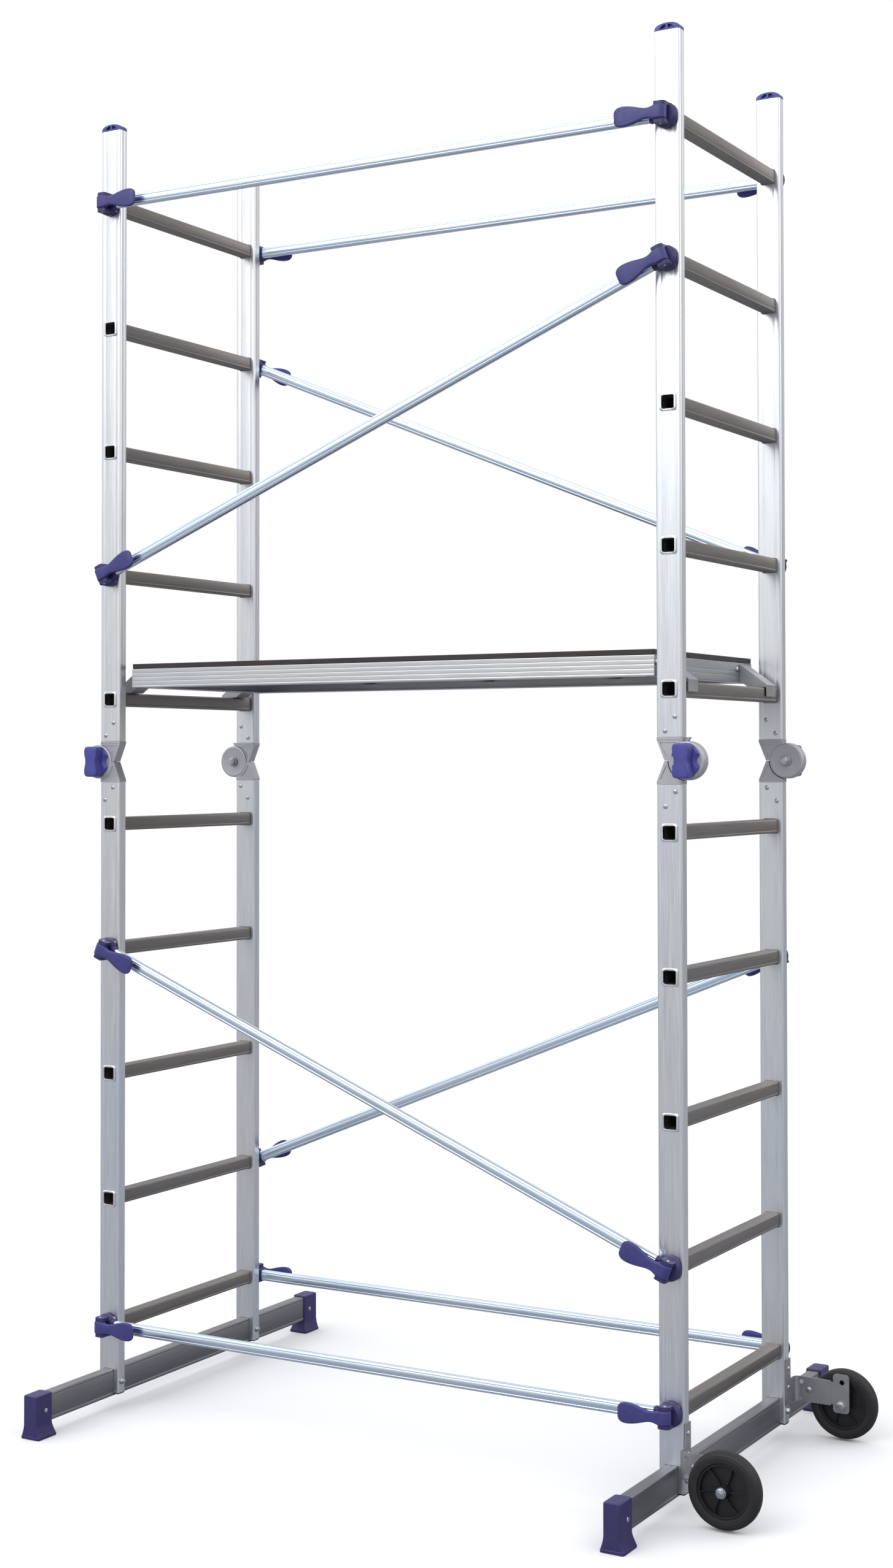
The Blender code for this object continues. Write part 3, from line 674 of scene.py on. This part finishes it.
def hinge_spacer():
    back, bore = STILE_T / 2 + GAP, BOLT_R + 0.0002
    top = back + 0.0040
    return turned(((bore, back), (0.0115, back), (0.0115, back + 0.0032), (0.0106, top), (bore, top)), 40)


RIVETS = {"near": ((0.039, 0.086), (0.0185, 0.058), (0.040, -0.060), (0.019, -0.089)),
          "far": ((0.0175, 0.0875), (0.039, 0.059), (0.019, -0.058), (0.041, -0.086))}


def hinge_pieces(side, turn):
    near, far = ends(side)
    for end, y, out, which in ((near, STILE_MID, -1, "near"), (far, -STILE_MID, 1, "far")):
        place = half_turn(turn) @ Matrix.Translation((HINGE_X, y, HINGE_Z))
        for level, body, sign in (("upper", f"{side}_upper_frame", 1), ("lower", TOWER, -1)):
            cad = f"{side}_{end}_{level}_hinge_casting"
            casting = fold_casting(level == "upper" and which == "near")
            if sign < 0:
                casting = moved(casting, turn=math.pi, axis="X")
            piece(f"{side}_{end}_{level}_casting", casting, "cast", body, [cad], place, 0.0005)
            faces = [
                rivet(INBOARD + x, way * (STILE_T / 2 - SUNK), z, way)
                for x, z in RIVETS[which] if z * sign > 0 for way in (-1, 1)
            ]
            piece(f"{side}_{end}_{level}_rivets", group(faces), "zinc", body, [cad], place)
        knob_turn = 0.0 if out < 0 else math.pi
        knob = f"{side}_{end}_hinge_knob"
        for name, make, finish in (
            ("knob", hinge_knob, "blue"), ("pivot_bolt", hinge_bolt, "zinc"),
            ("pivot_spacer", hinge_spacer, "cast"),
        ):
            piece(f"{side}_{end}_{name}", moved(make(), turn=knob_turn), finish, knob, [knob], place)


# ---- caps, base bars and feet
def top_cap():
    """The arched cap over a stile's end: a rim, a crowned back and two pockets beside a rib."""
    low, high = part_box("right_front_top_cap")
    half, rise = STILE_W / 2, high[2] - STILE_TOP
    arch = [
        (half * math.cos(a), 0.0028 + (rise - 0.0028) * math.sin(a) ** 0.9)
        for a in (math.pi * i / 24 for i in range(25))
    ]
    outline = [(-half, GAP), (half, GAP), *arch]
    half_t = STILE_T / 2
    stations = ((-half_t, 0.955), (-half_t + 0.0012, 0.99), (-half_t + 0.003, 1.0), (half_t - 0.003, 1.0),
                (half_t - 0.0012, 0.99), (half_t, 0.955))
    dome = scaled_prism(outline, "Y", stations, (0, GAP))
    cuts = []
    corners = ((0.0022, 0.0034), (0.0022, 0.0112), (0.0085, 0.0105), (0.0165, 0.0034))
    for way in (-1, 1):
        pocket = [(way * x, z) for x, z in corners]
        for span in ((-half_t - PAST, -half_t + 0.006), (half_t - 0.006, half_t + PAST)):
            cuts.append(extrude(pocket, "Y", *span))
    return combined(dome, [extrude(stile_bore(2 * GAP, 0, 0), "Z", -0.02, 0.001)], cuts)


def base_bar():
    """The bar across an end frame's feet: a tall tube with a groove along the foot of each side."""
    low, high = BAR_LOW, BAR_HIGH
    width, height = high.x - low.x, high.z - low.z
    centre = ((low.x + high.x) / 2, (low.z + high.z) / 2)
    sides = [(-height * 0.36, 0.0015, 0.0009), (height * 0.40, 0.0012, 0.0005)]
    outline = section(width, height, 0.003, sides, [(0.0, 0.004, 0.0004)], centre)
    inside = section(width - 2 * WALL, height - 2 * WALL, 0.0015, centre=centre, steps=2)
    bore = extrude(inside, "Y", low.y - PAST, high.y + PAST)
    return combined(extrude(outline, "Y", low.y, high.y), (), [bore])


def bar_bolts():
    """The hexagon bolts that hold the bar in the stiles, with their nuts on the other side."""
    z = (BAR_LOW.z + BAR_HIGH.z) / 2 + 0.003
    made = []
    for y in (STILE_MID, -STILE_MID):
        for way in (-1, 1):
            head = group([
                rod(0.0085, 0, 0.0012, 28), hexagon_head(0.0072, 0.0011, 0.0062),
                round_bolt(0.0036, 0.006, 0.0062 + (0.003 if way < 0 else 0.0008)),
            ])
            made.append(moved(head, (HALF_SPAN + way * (STILE_W / 2 - 0.0003), y, z), -way * math.pi / 2))
    return group(made)


def foot():
    """The foot on a bar's end, about the middle of its sole: a sleeve over a pad with a curved skirt."""
    foot_w, foot_l, pad_w, pad_l = FOOT_W, FOOT_LENGTH, PAD_W, PAD_LENGTH
    shift = (pad_l - foot_l) / 2
    outline = [
        (0.0, pad_w - 0.001, pad_l - 0.001, shift), (0.0012, pad_w, pad_l, shift),
        (0.0055, pad_w, pad_l, shift), (0.0065, pad_w - 0.0016, pad_l - 0.0016, shift),
        (0.0105, pad_w - 0.0045, pad_l - 0.0022, shift * 0.8),
        (0.0165, pad_w - 0.0085, pad_l - 0.0038, shift * 0.5),
        (0.0225, pad_w - 0.0118, pad_l - 0.0050, shift * 0.2), (0.0265, foot_w + 0.0006, foot_l + 0.0004, 0),
        (0.0280, foot_w + 0.0006, foot_l + 0.0004, 0), (0.0285, foot_w, foot_l, 0),
        (FOOT_H - 0.0030, foot_w, foot_l, 0), (FOOT_H - 0.0009, foot_w - 0.0012, foot_l - 0.0012, 0),
        (FOOT_H, foot_w - 0.0044, foot_l - 0.0044, 0),
    ]
    body = loft([placed(section(w, l, 0.0045, centre=(0, y)), "Z", z) for z, w, l, y in outline])
    half = (BAR_HIGH.x - BAR_LOW.x) / 2 + GAP
    hole = rectangle(-half, half, BAR_LOW.z - GAP, BAR_HIGH.z + GAP)
    socket = extrude(hole, "Y", -foot_l / 2 + 0.0047, foot_l)
    treads = [
        extrude(rectangle(-pad_w, pad_w, -PAST, 0.0016), "Y", y, y + 0.0022)
        for y in (shift + pad_l * share for share in (-0.35, -0.15, 0.05, 0.25))
    ]
    return combined(body, (), [socket, *treads])


def small_pieces(side, turn):
    near, far = ends(side)
    upright = half_turn(turn)
    for end, y, out in ((near, STILE_MID, -1), (far, -STILE_MID, 1)):
        cap_place = upright @ Matrix.Translation((HALF_SPAN, y, STILE_TOP))
        cap = f"{side}_{end}_top_cap"
        piece(f"{side}_{end}_cap", top_cap(), "blue", f"{side}_upper_frame", [cap], cap_place, 0.0005)
        cad = f"{side}_{end}_foot"
        reach = max(abs(corner[1]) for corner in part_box(cad)) - FOOT_LENGTH / 2
        shoe = foot() if out < 0 else moved(foot(), turn=math.pi)
        foot_place = upright @ Matrix.Translation((HALF_SPAN, out * reach, 0))
        piece(f"{side}_{end}_foot_shoe", shoe, "dark_blue", TOWER, [cad], foot_place, 0.0004)
        studs = [
            moved(rivet(0, 0, 0, 1), (way * (FOOT_W / 2 - SUNK), -out * 0.0055, 0.057), -way * math.pi / 2)
            for way in (-1, 1)
        ]
        piece(f"{side}_{end}_foot_rivets", group(studs), "zinc", TOWER, [cad], foot_place)
    bar = f"{side}_base_bar"
    piece(f"{bar}_tube", base_bar(), "bar", TOWER, [bar], upright)
    piece(f"{bar}_bolts", bar_bolts(), "zinc", TOWER, [bar], upright)


# ---- wheels
HUB_R = WHEEL_R * 0.70


def tyre():
    """The tyre: a round tread with two grooves, a stepped side wall and a bead that grips the rim."""
    half = WHEEL_T / 2
    side = [
        (HUB_R, half - 0.0035), (HUB_R + 0.0015, half - 0.0006), (HUB_R + 0.0035, half),
        (WHEEL_R * 0.86, half), (WHEEL_R * 0.875, half - 0.0009), (WHEEL_R * 0.89, half - 0.0006),
        (WHEEL_R * 0.935, half - 0.0018), (WHEEL_R * 0.968, half * 0.72), (WHEEL_R * 0.990, half * 0.46),
        (WHEEL_R, half * 0.22),
    ]
    return turned([(r, -y) for r, y in side] + side[::-1], 96)


def hub():
    """The moulded hub: rim, dished web with six thin ribs on each side, and a boss longer towards +Y."""
    half, web, boss, end = WHEEL_T / 2 - 0.0035, 0.0024, 0.0125, WHEEL_T / 2
    rim = [(boss + 0.0012, web), (HUB_R - 0.0052, web), (HUB_R - 0.0040, half), (HUB_R - GAP, half)]
    top = end + HUB_BOSS
    outer = [(BORE_R, top), (boss - 0.0035, top), (boss - 0.0025, top - 0.001), (boss, half), *rim]
    inner = [(BORE_R, -end), (boss - 0.001, -end), (boss, -end + 0.001)] + [(r, -y) for r, y in rim]
    body = turned(inner + outer[::-1], 72)
    start, length, half_rib = boss * 0.8, HUB_R - 0.003 - boss * 0.8, 0.0008
    ribs = []
    for k in range(6):
        spine = [(start + length * t, 0.16 * t * t + math.pi / 3 * k) for t in (0, 0.25, 0.5, 0.75, 1)]
        left, right = (
            [(r * math.cos(a) - w * math.sin(a), r * math.sin(a) + w * math.cos(a)) for r, a in spine]
            for w in (half_rib, -half_rib)
        )
        ribs.append(extrude(left + right[::-1], "Y", -half + 0.0025, half - 0.0010))
    return combined(body, ribs)


PLATE = HALF_SPAN + STILE_W / 2 + GAP - WHEEL_X      # the bracket's inner face on the stile, from the axle
ARM_Y = WHEEL_Y - WHEEL_T / 2 - WHEEL_PLAY - SHEET_T
PLATE_Z, ARM_Z, TAB_W, TAB_Z = (0.075, 0.172), (0.075, 0.128), 0.036, (0.061, 0.143)


def wheel_bracket():
    """The bent steel bracket about the axle's foot: a plate on the stile, an arm and the axle's tab."""
    inner, far = -FRONT - STILE_T, ARM_Y + SHEET_T
    sheet = (ARM_Y + 0.0008, far + 0.0008)       # the tab is pressed a little out of the arm's plane
    upright = extrude(rectangle(inner, -FRONT, *PLATE_Z), "X", PLATE, PLATE + SHEET_T)
    centre = (PLATE + SHEET_T + BEND, ARM_Y - BEND)
    turns = [math.pi / 2 * k / 6 for k in range(7)]
    inside = [(centre[0] - BEND * math.cos(a), centre[1] + BEND * math.sin(a)) for a in turns]
    wide = BEND + SHEET_T
    outside = [(centre[0] - wide * math.cos(a), centre[1] + wide * math.sin(a)) for a in turns]
    arm_end = -TAB_W / 2 - 0.004
    bent = [
        (PLATE + SHEET_T, inner), *inside, (arm_end, ARM_Y), (arm_end, far), *outside[::-1], (PLATE, inner),
    ]
    arm = extrude(bent, "Z", *ARM_Z)
    neck_z = (ARM_Z[0] + 0.003, ARM_Z[1] - 0.003)
    neck = extrude(rectangle(arm_end - 0.003, -TAB_W / 2 + 0.008, *neck_z), "Y", *sheet)
    tab_middle = (0, (TAB_Z[0] + TAB_Z[1]) / 2)
    tab = extrude(section(TAB_W, TAB_Z[1] - TAB_Z[0], 0.008, centre=tab_middle), "Y", *sheet)
    hole_x = centre[0] + 0.004
    holes = [
        extrude(circle(radius, 28, spot), "Y", ARM_Y - PAST, far + PAST)
        for radius, spot in (
            (0.0046, (hole_x, ARM_Z[1] - 0.011)), (0.0046, (hole_x, ARM_Z[0] + 0.009)),
            (0.0055, (0.002, TAB_Z[1] - 0.017)),
        )
    ]
    return combined(upright, [arm, neck, tab], holes)


def bracket_bolts():
    """The axle bolt with its nut, washers and head, the arm's round bolt and the plate's two screws."""
    far = ARM_Y + SHEET_T
    start, end = far + 0.0008, WHEEL_Y + WHEEL_T / 2 + HUB_BOSS
    axle = (0, 0, WHEEL_Z)
    made = [moved(part, axle) for part in (
        rod(BOLT_R, ARM_Y - 0.002, end + 0.004, 28), rod(0.0105, start, start + 0.0012, 32),
        rod(0.0105, end + 0.0004, end + 0.0016, 32), hexagon_head(0.0095, end + 0.0016, end + 0.0072),
        round_bolt(BOLT_R * 0.85, end + 0.0070, end + 0.0090),
        rod(0.0115, ARM_Y + 0.0008, ARM_Y - 0.0006, 32), hexagon_head(0.0100, ARM_Y - 0.0004, ARM_Y - 0.0065),
    )]
    arm_middle = (PLATE + 0.0330, 0, (ARM_Z[0] + ARM_Z[1]) / 2)
    dome = ((0.0062, 0), (0.0062, 0.0008), (0.0050, 0.0022), (0.0026, 0.0030), (0.0012, 0.0031))
    for y, way in ((ARM_Y, -1), (far, 1)):
        made.append(moved(solid_turned([(r, y + way * h) for r, h in dome], 28), arm_middle))
    for z in (0.112, 0.152):
        stud = solid_turned([(r * 0.8, h) for r, h in dome], 24)
        made.append(moved(stud, (PLATE + SHEET_T - SUNK, -STILE_MID, z), -math.pi / 2))
    return group(made)


def wheel_pieces():
    for end, out in (("front", -1), ("back", 1)):
        turn_over = mirrored if out < 0 else moved
        place = Matrix.Translation((WHEEL_X, 0, 0))
        bracket, wheel = f"{end}_wheel_bracket", f"{end}_wheel"
        plate, bolts = turn_over(wheel_bracket()), turn_over(bracket_bolts())
        piece(f"{end}_bracket_plate", plate, "bracket", TOWER, [bracket], place, 0.0004)
        piece(f"{end}_bracket_bolts", bolts, "zinc", TOWER, [bracket], place)
        centre = Matrix.Translation((WHEEL_X, out * WHEEL_Y, WHEEL_Z))
        piece(f"{end}_tyre", tyre(), "rubber", wheel, [wheel], centre)
        piece(f"{end}_hub", turn_over(hub()), "hub", wheel, [wheel], centre, 0.0004)


# ---- braces, in their own frame: X along the brace, Z across it, Y out of the tower
RUNG_END = 0.003                      # how far a rung's end stands out of its stile
TUBE_MID = -(RUNG_END + 3 * GAP + SOCKET_T / 2)


def clamp(plugged):
    """A brace's end clamp: collar on the rung's end, short socket for the tube, two ears for the pin."""
    near = -(RUNG_END + 2 * GAP)
    far = near - COLLAR_T
    rim = (
        (COLLAR_R - 0.0015, near), (COLLAR_R, near - 0.0015), (COLLAR_R, near - 0.0060),
        (COLLAR_R - 0.0012, near - 0.0068), (COLLAR_R - 0.0012, near - 0.0105),
        (COLLAR_R - 0.0030, far + 0.0008), (COLLAR_R - 0.0050, far),
    )
    collar = solid_turned(rim, 64)
    side = section(SOCKET_T, SOCKET_W, 0.006, centre=(TUBE_MID, 0), steps=4)
    stations = (
        (SOCKET_NEAR, 0.93), (SOCKET_NEAR + 0.0015, 1.0), (SOCKET_FAR - 0.001, 1.0), (SOCKET_FAR, 0.965),
    )
    socket = scaled_prism(side, "X", stations, (TUBE_MID, 0))
    tip_x, tip_y, tip_r = -0.0030, -PIN_OUT + 0.0005, 0.0085
    turns = [math.pi * (1 - i / 16) for i in range(9)]
    ear = [(tip_x + tip_r * math.cos(a), tip_y - tip_r * math.sin(a)) for a in turns] + [
        (0.0100, -PIN_OUT - 0.0080), (0.0125, -PIN_OUT - 0.0060), (0.0125, far + 0.001),
        (-0.0115, far + 0.001),
    ]
    ears = [extrude(ear, "Z", *span) for span in ((EAR_IN, EAR_IN + EAR_T), (-EAR_IN - EAR_T, -EAR_IN))]
    root = section(0.004, 2 * (EAR_IN + 0.002), 0.0015, centre=(far, 0), steps=2)
    add = [socket, *ears, extrude(root, "X", -0.0112, 0.0122)]
    if plugged:
        add.append(solid_turned(((0.0115, near + 0.001), (0.0115, 0.027), (0.0100, 0.030)), 28))
    inside = section(TUBE_T, TUBE_W, TUBE_CORNER, centre=(TUBE_MID, 0))
    return combined(collar, add, [extrude(inside, "X", SOCKET_NEAR + 0.004, SOCKET_FAR + PAST)])


def clamp_pin():
    """The bright pin through the ears and the lever, with a turned-off end at each side."""
    half = EAR_IN + EAR_T + 0.0008
    profile = ((0.0022, -half), (PIN_R, -half + 0.0007), (PIN_R, half - 0.0007), (0.0022, half))
    return moved(solid_turned(profile, 24), (0, -PIN_OUT, 0), math.pi / 2, "X")


def brace_tube(length):
    """The brace's tube: a flat oval with two fine lines along each flat side."""
    lines = [(0.0064, 0.0008, 0.0005), (-0.0064, 0.0008, 0.0005)]
    outline = section(TUBE_T, TUBE_W, TUBE_CORNER, lines, centre=(TUBE_MID, 0))
    start = SOCKET_NEAR + 0.005
    return loft([placed(outline, "X", x) for x in (start, length - start)])


def lever():
    """The clamp lever about its pin, drawn along X: round hub, narrow neck, broad flat paddle."""
    half, hub_r, paddle = LEVER_HUB_W / 2, LEVER_HUB_R, PADDLE_W / 2
    hub = [
        (hub_r * math.cos(a), half - 0.0006 * (1 - math.sin(a)), -hub_r * math.sin(a), hub_r * math.sin(a))
        for a in (math.pi - math.pi / 2 * i / 7 for i in range(1, 7))
    ]
    arm = smooth_path([
        (0.0, half, -hub_r, hub_r), (0.0070, half, -0.0124, 0.0102), (0.0120, half * 0.97, -0.0120, 0.0040),
        (0.0170, half * 0.86, -0.0116, -0.0008), (0.0235, half * 0.76, -0.0113, -0.0016),
        (0.0320, half * 0.79, -0.0110, -0.0017), (0.0430, paddle * 0.67, -0.0108, -0.0016),
        (0.0560, paddle * 0.85, -0.0107, -0.0015), (0.0690, paddle * 0.97, -0.0106, -0.0015),
        (0.0800, paddle, -0.0105, -0.0016), (0.0885, paddle * 0.93, -0.0100, -0.0020),
        (0.0935, paddle * 0.77, -0.0092, -0.0028), (0.0962, paddle * 0.56, -0.0082, -0.0038),
        (LEVER_LENGTH, paddle * 0.34, -0.0072, -0.0048),
    ], 4)
    rings = []
    for x, half_z, front, back in hub + arm:
        depth = back - front
        corner = min(0.0032, depth * 0.42, half_z * 0.6)
        rings.append(placed(section(depth, 2 * half_z, corner, centre=((front + back) / 2, 0)), "X", x))
    return combined(loft(rings), (), [extrude(circle(PIN_R + PIN_PLAY, 24), "Z", -0.05, 0.05)])


def brace_pieces():
    clamps = {plugged: clamp(plugged) for plugged in (True, False)}
    for turn, face, left, right in ((0, "front", "left", "right"), (math.pi, "back", "right", "left")):
        for name, left_rung, right_rung, upper in (
            ("top_rail", 10, 10, True), ("upper_diagonal", 7, 9, True),
            ("lower_diagonal", 4, 2, False), ("bottom_rail", 1, 1, False),
        ):
            rise = RUNG_PITCH * (right_rung - left_rung)
            length, slope = math.hypot(2 * HALF_SPAN, rise), -math.atan2(rise, 2 * HALF_SPAN)
            body = "left_upper_frame" if upper else TOWER
            brace = f"{face}_{name}"
            start = (-HALF_SPAN, FRONT, RUNG_1 + RUNG_PITCH * (left_rung - 1))
            place = half_turn(turn) @ Matrix.Translation(start) @ Matrix.Rotation(slope, 4, "Y")
            piece(f"{brace}_tube", brace_tube(length), "brace", body, [brace], place)
            for end, x, way in ((left, 0, 0), (right, length, math.pi)):
                plugged = not upper or end == "left"
                name_here, lever_node = f"{brace}_{end}", f"{brace}_{end}_lever"
                at_end = place @ Matrix.Translation((x, 0, 0)) @ Matrix.Rotation(way, 4, "Y")
                at_pin = at_end @ Matrix.Translation((0, -PIN_OUT, 0))
                mesh = clamps[plugged].copy()
                piece(f"{name_here}_clamp", mesh, "dark_blue", body, [brace], at_end, 0.0004)
                piece(f"{name_here}_pin", clamp_pin(), "zinc", body, [brace], at_end)
                piece(f"{lever_node}_arm", lever(), "lever_blue", lever_node, [lever_node], at_pin)


# ---- platform
def platform_pieces():
    deck_low, deck_high = (Vector(corner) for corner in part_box("platform_deck"))
    half_l, half_w = deck_high.x - CENTRE_X, deck_high.y
    rail_z, top = 1.6145, deck_low.z - GAP
    rail_w, rail_h, wall = 0.024, top - rail_z, 0.0025
    grooves = [(rail_h * share, 0.0010, 0.0005) for share in (-0.38, -0.16, 0.05, 0.26)]
    skin = {"body": "platform", "nodes": ["platform_frame"]}

    def rail(grooved, reach, axis, end, way):
        """A channel with a grooved web, its open side towards the middle."""
        centre = (reach - way * rail_w / 2, rail_z + rail_h / 2)
        outline = section(rail_w, rail_h, 0.0015, grooved, centre=centre, steps=3)
        web, tip = reach - way * wall, reach - way * (rail_w + 0.01)
        room = rectangle(min(web, tip), max(web, tip), rail_z + wall, top - wall)
        return combined(extrude(outline, axis, -end, end), (), [extrude(room, axis, -end - PAST, end + PAST)])

    for end, way in (("front", -1), ("back", 1)):
        mesh = rail(grooves, way * half_w, "X", half_l, way)
        piece(f"platform_{end}_rail", mesh, "rail", **skin, bevel=0.0003)
    across = half_w - wall - GAP
    for end, way in (("left", -1), ("right", 1)):
        mesh = rail(grooves[1:3], way * half_l, "Y", across, way)
        piece(f"platform_{end}_end", mesh, "rail_end", **skin, bevel=0.0003)
    groove = [(0, 0.003, 0.0004)]
    for number, x in enumerate((-half_l / 2, 0, half_l / 2)):
        centre = (x, top - 0.013 - GAP)
        outline = section(0.026, 0.026, 0.002, groove, groove, centre)
        hollow = section(0.022, 0.022, 0.001, centre=centre, steps=2)
        bore = extrude(hollow, "Y", -across - PAST, across + PAST)
        mesh = combined(extrude(outline, "Y", -across, across), (), [bore])
        piece(f"platform_cross_{number + 1}", mesh, "rung", **skin)
    rung_top = RUNG_1 + 5 * RUNG_PITCH + RUNG_W / 2 + GAP
    strip, play, face, hook_y, hook_w = 0.003, 0.0030, half_l + 0.0002, 0.205, 0.046
    inner = HALF_SPAN + RUNG_W / 2 + play
    outer = inner + strip
    hook = [
        (face, rail_z + 0.002), (face, top - 0.005), (half_l + strip, top - 0.004),
        (outer - 0.002, rung_top + strip + 0.004), (outer, rung_top + strip + 0.002),
        (outer, rung_top - 0.019), (outer - 0.001, rung_top - 0.020), (inner + 0.001, rung_top - 0.020),
        (inner, rung_top - 0.019), (inner, rung_top + 0.0002),
        (HALF_SPAN - RUNG_W / 2 - 0.006, rung_top + 0.0002), (half_l + strip, rail_z + 0.002),
    ]
    screw = solid_turned(((0.0062, 0), (0.0062, 0.0007), (0.0048, 0.0022), (0.0022, 0.0028)), 24)
    for end, way in (("left", -1), ("right", 1)):
        for which, y in (("front", -hook_y), ("back", hook_y)):
            mesh = extrude([(way * x, z) for x, z in hook], "Y", y - hook_w / 2, y + hook_w / 2)
            name = f"platform_{end}_{which}_hook"
            piece(name, mesh, "bracket", **skin, bevel=0.0006)
            heads = [
                moved(screw, (way * face, y + dy, top - 0.0145), -way * math.pi / 2) for dy in (-0.034, 0.034)
            ]
            piece(f"{name}_screws", group(heads), "zinc", **skin)
    slab = extrude(section(2 * half_l, 2 * half_w, 0.004), "Z", deck_low.z, deck_high.z)
    piece("deck_board", slab, "plywood", "platform", ["platform_deck"], bevel=0.0007)


# ---- stage
def stage():
    bm = bmesh.new()
    bmesh.ops.create_circle(bm, cap_ends=True, segments=96, radius=24)
    floor = added("floor", finished(bm))
    made, tree, shader = material("pale_floor")
    seen = node(tree, "LightPath").outputs["Is Camera Ray"]
    tone = mixed(tree, (0.29, 0.30, 0.33, 1), (0.93, 0.93, 0.94, 1), "MIX", seen)
    fill(tree, shader, {"Base Color": tone, "Roughness": 0.85})
    floor.data.materials.append(made)


def world():
    """A studio, plain white behind the tower. Round it, it is brighter overhead and dim at the back."""
    made = bpy.data.worlds.new("studio")
    made.use_nodes = True
    bpy.context.scene.world = made
    tree = made.node_tree
    place = node(tree, "TexCoord").outputs["Generated"]
    height = node(tree, "SeparateXYZ", {"Vector": place}).outputs["Z"]
    across = node(tree, "VectorMath", {0: place, 1: (0.387, 0.922, 0)})
    across.operation = "DOT_PRODUCT"
    fade = node(tree, "MapRange", {
        "Value": across.outputs["Value"], "From Min": -0.1, "To Min": 1.30, "To Max": 0.72,
    })
    around = tree.nodes["Background"]
    fill(tree, around, {
        "Color": ramp(tree, height, 0.0, 0.42, ((0.50, 0.49, 0.48), (0.97, 0.98, 1.0))),
        "Strength": fade.outputs["Result"],
    })
    backdrop = node(tree, "Background", {"Color": (1, 1, 1, 1)})
    seen = node(tree, "LightPath").outputs["Is Camera Ray"]
    both = node(tree, "MixShader", {0: seen, 1: around.outputs[0], 2: backdrop.outputs[0]})
    fill(tree, tree.nodes["World Output"], {"Surface": both.outputs[0]})


def area_light(name, location, target, size_x, size_y, power):
    data = bpy.data.lights.new(name, "AREA")
    data.shape = "RECTANGLE"
    data.size, data.size_y = size_x, size_y
    data.energy = power
    light = added(name, data)
    light.location = location
    light.rotation_euler = (Vector(target) - Vector(location)).to_track_quat("-Z", "Y").to_euler()


def camera():
    """The camera, from the right of the front, with its centre a little low in its frame."""
    data = bpy.data.cameras.new("camera")
    data.sensor_width = 36
    data.lens = 50.84
    data.shift_y = -0.04424
    data.clip_end = 200
    made = added("camera", data)
    made.location = (2.4697 + CENTRE_X, -4.2148, 1.4460)
    made.rotation_euler = (math.radians(91.228), math.radians(0.079), math.radians(30.073))
    bpy.context.scene.camera = made
    bpy.context.scene.view_settings.view_transform = "Standard"


camera()
world()
area_light("key", (-1.5, -6.0, 5.5), (0, 0, 1.6), 5, 4, 150)
area_light("fill", (5.0, 2.5, 4.0), (0, 0, 1.2), 3, 3, 60)
stage()
end_frame_pieces("right", 0)
end_frame_pieces("left", math.pi)
hinge_pieces("right", 0)
hinge_pieces("left", math.pi)
small_pieces("right", 0)
small_pieces("left", math.pi)
wheel_pieces()
brace_pieces()
platform_pieces()
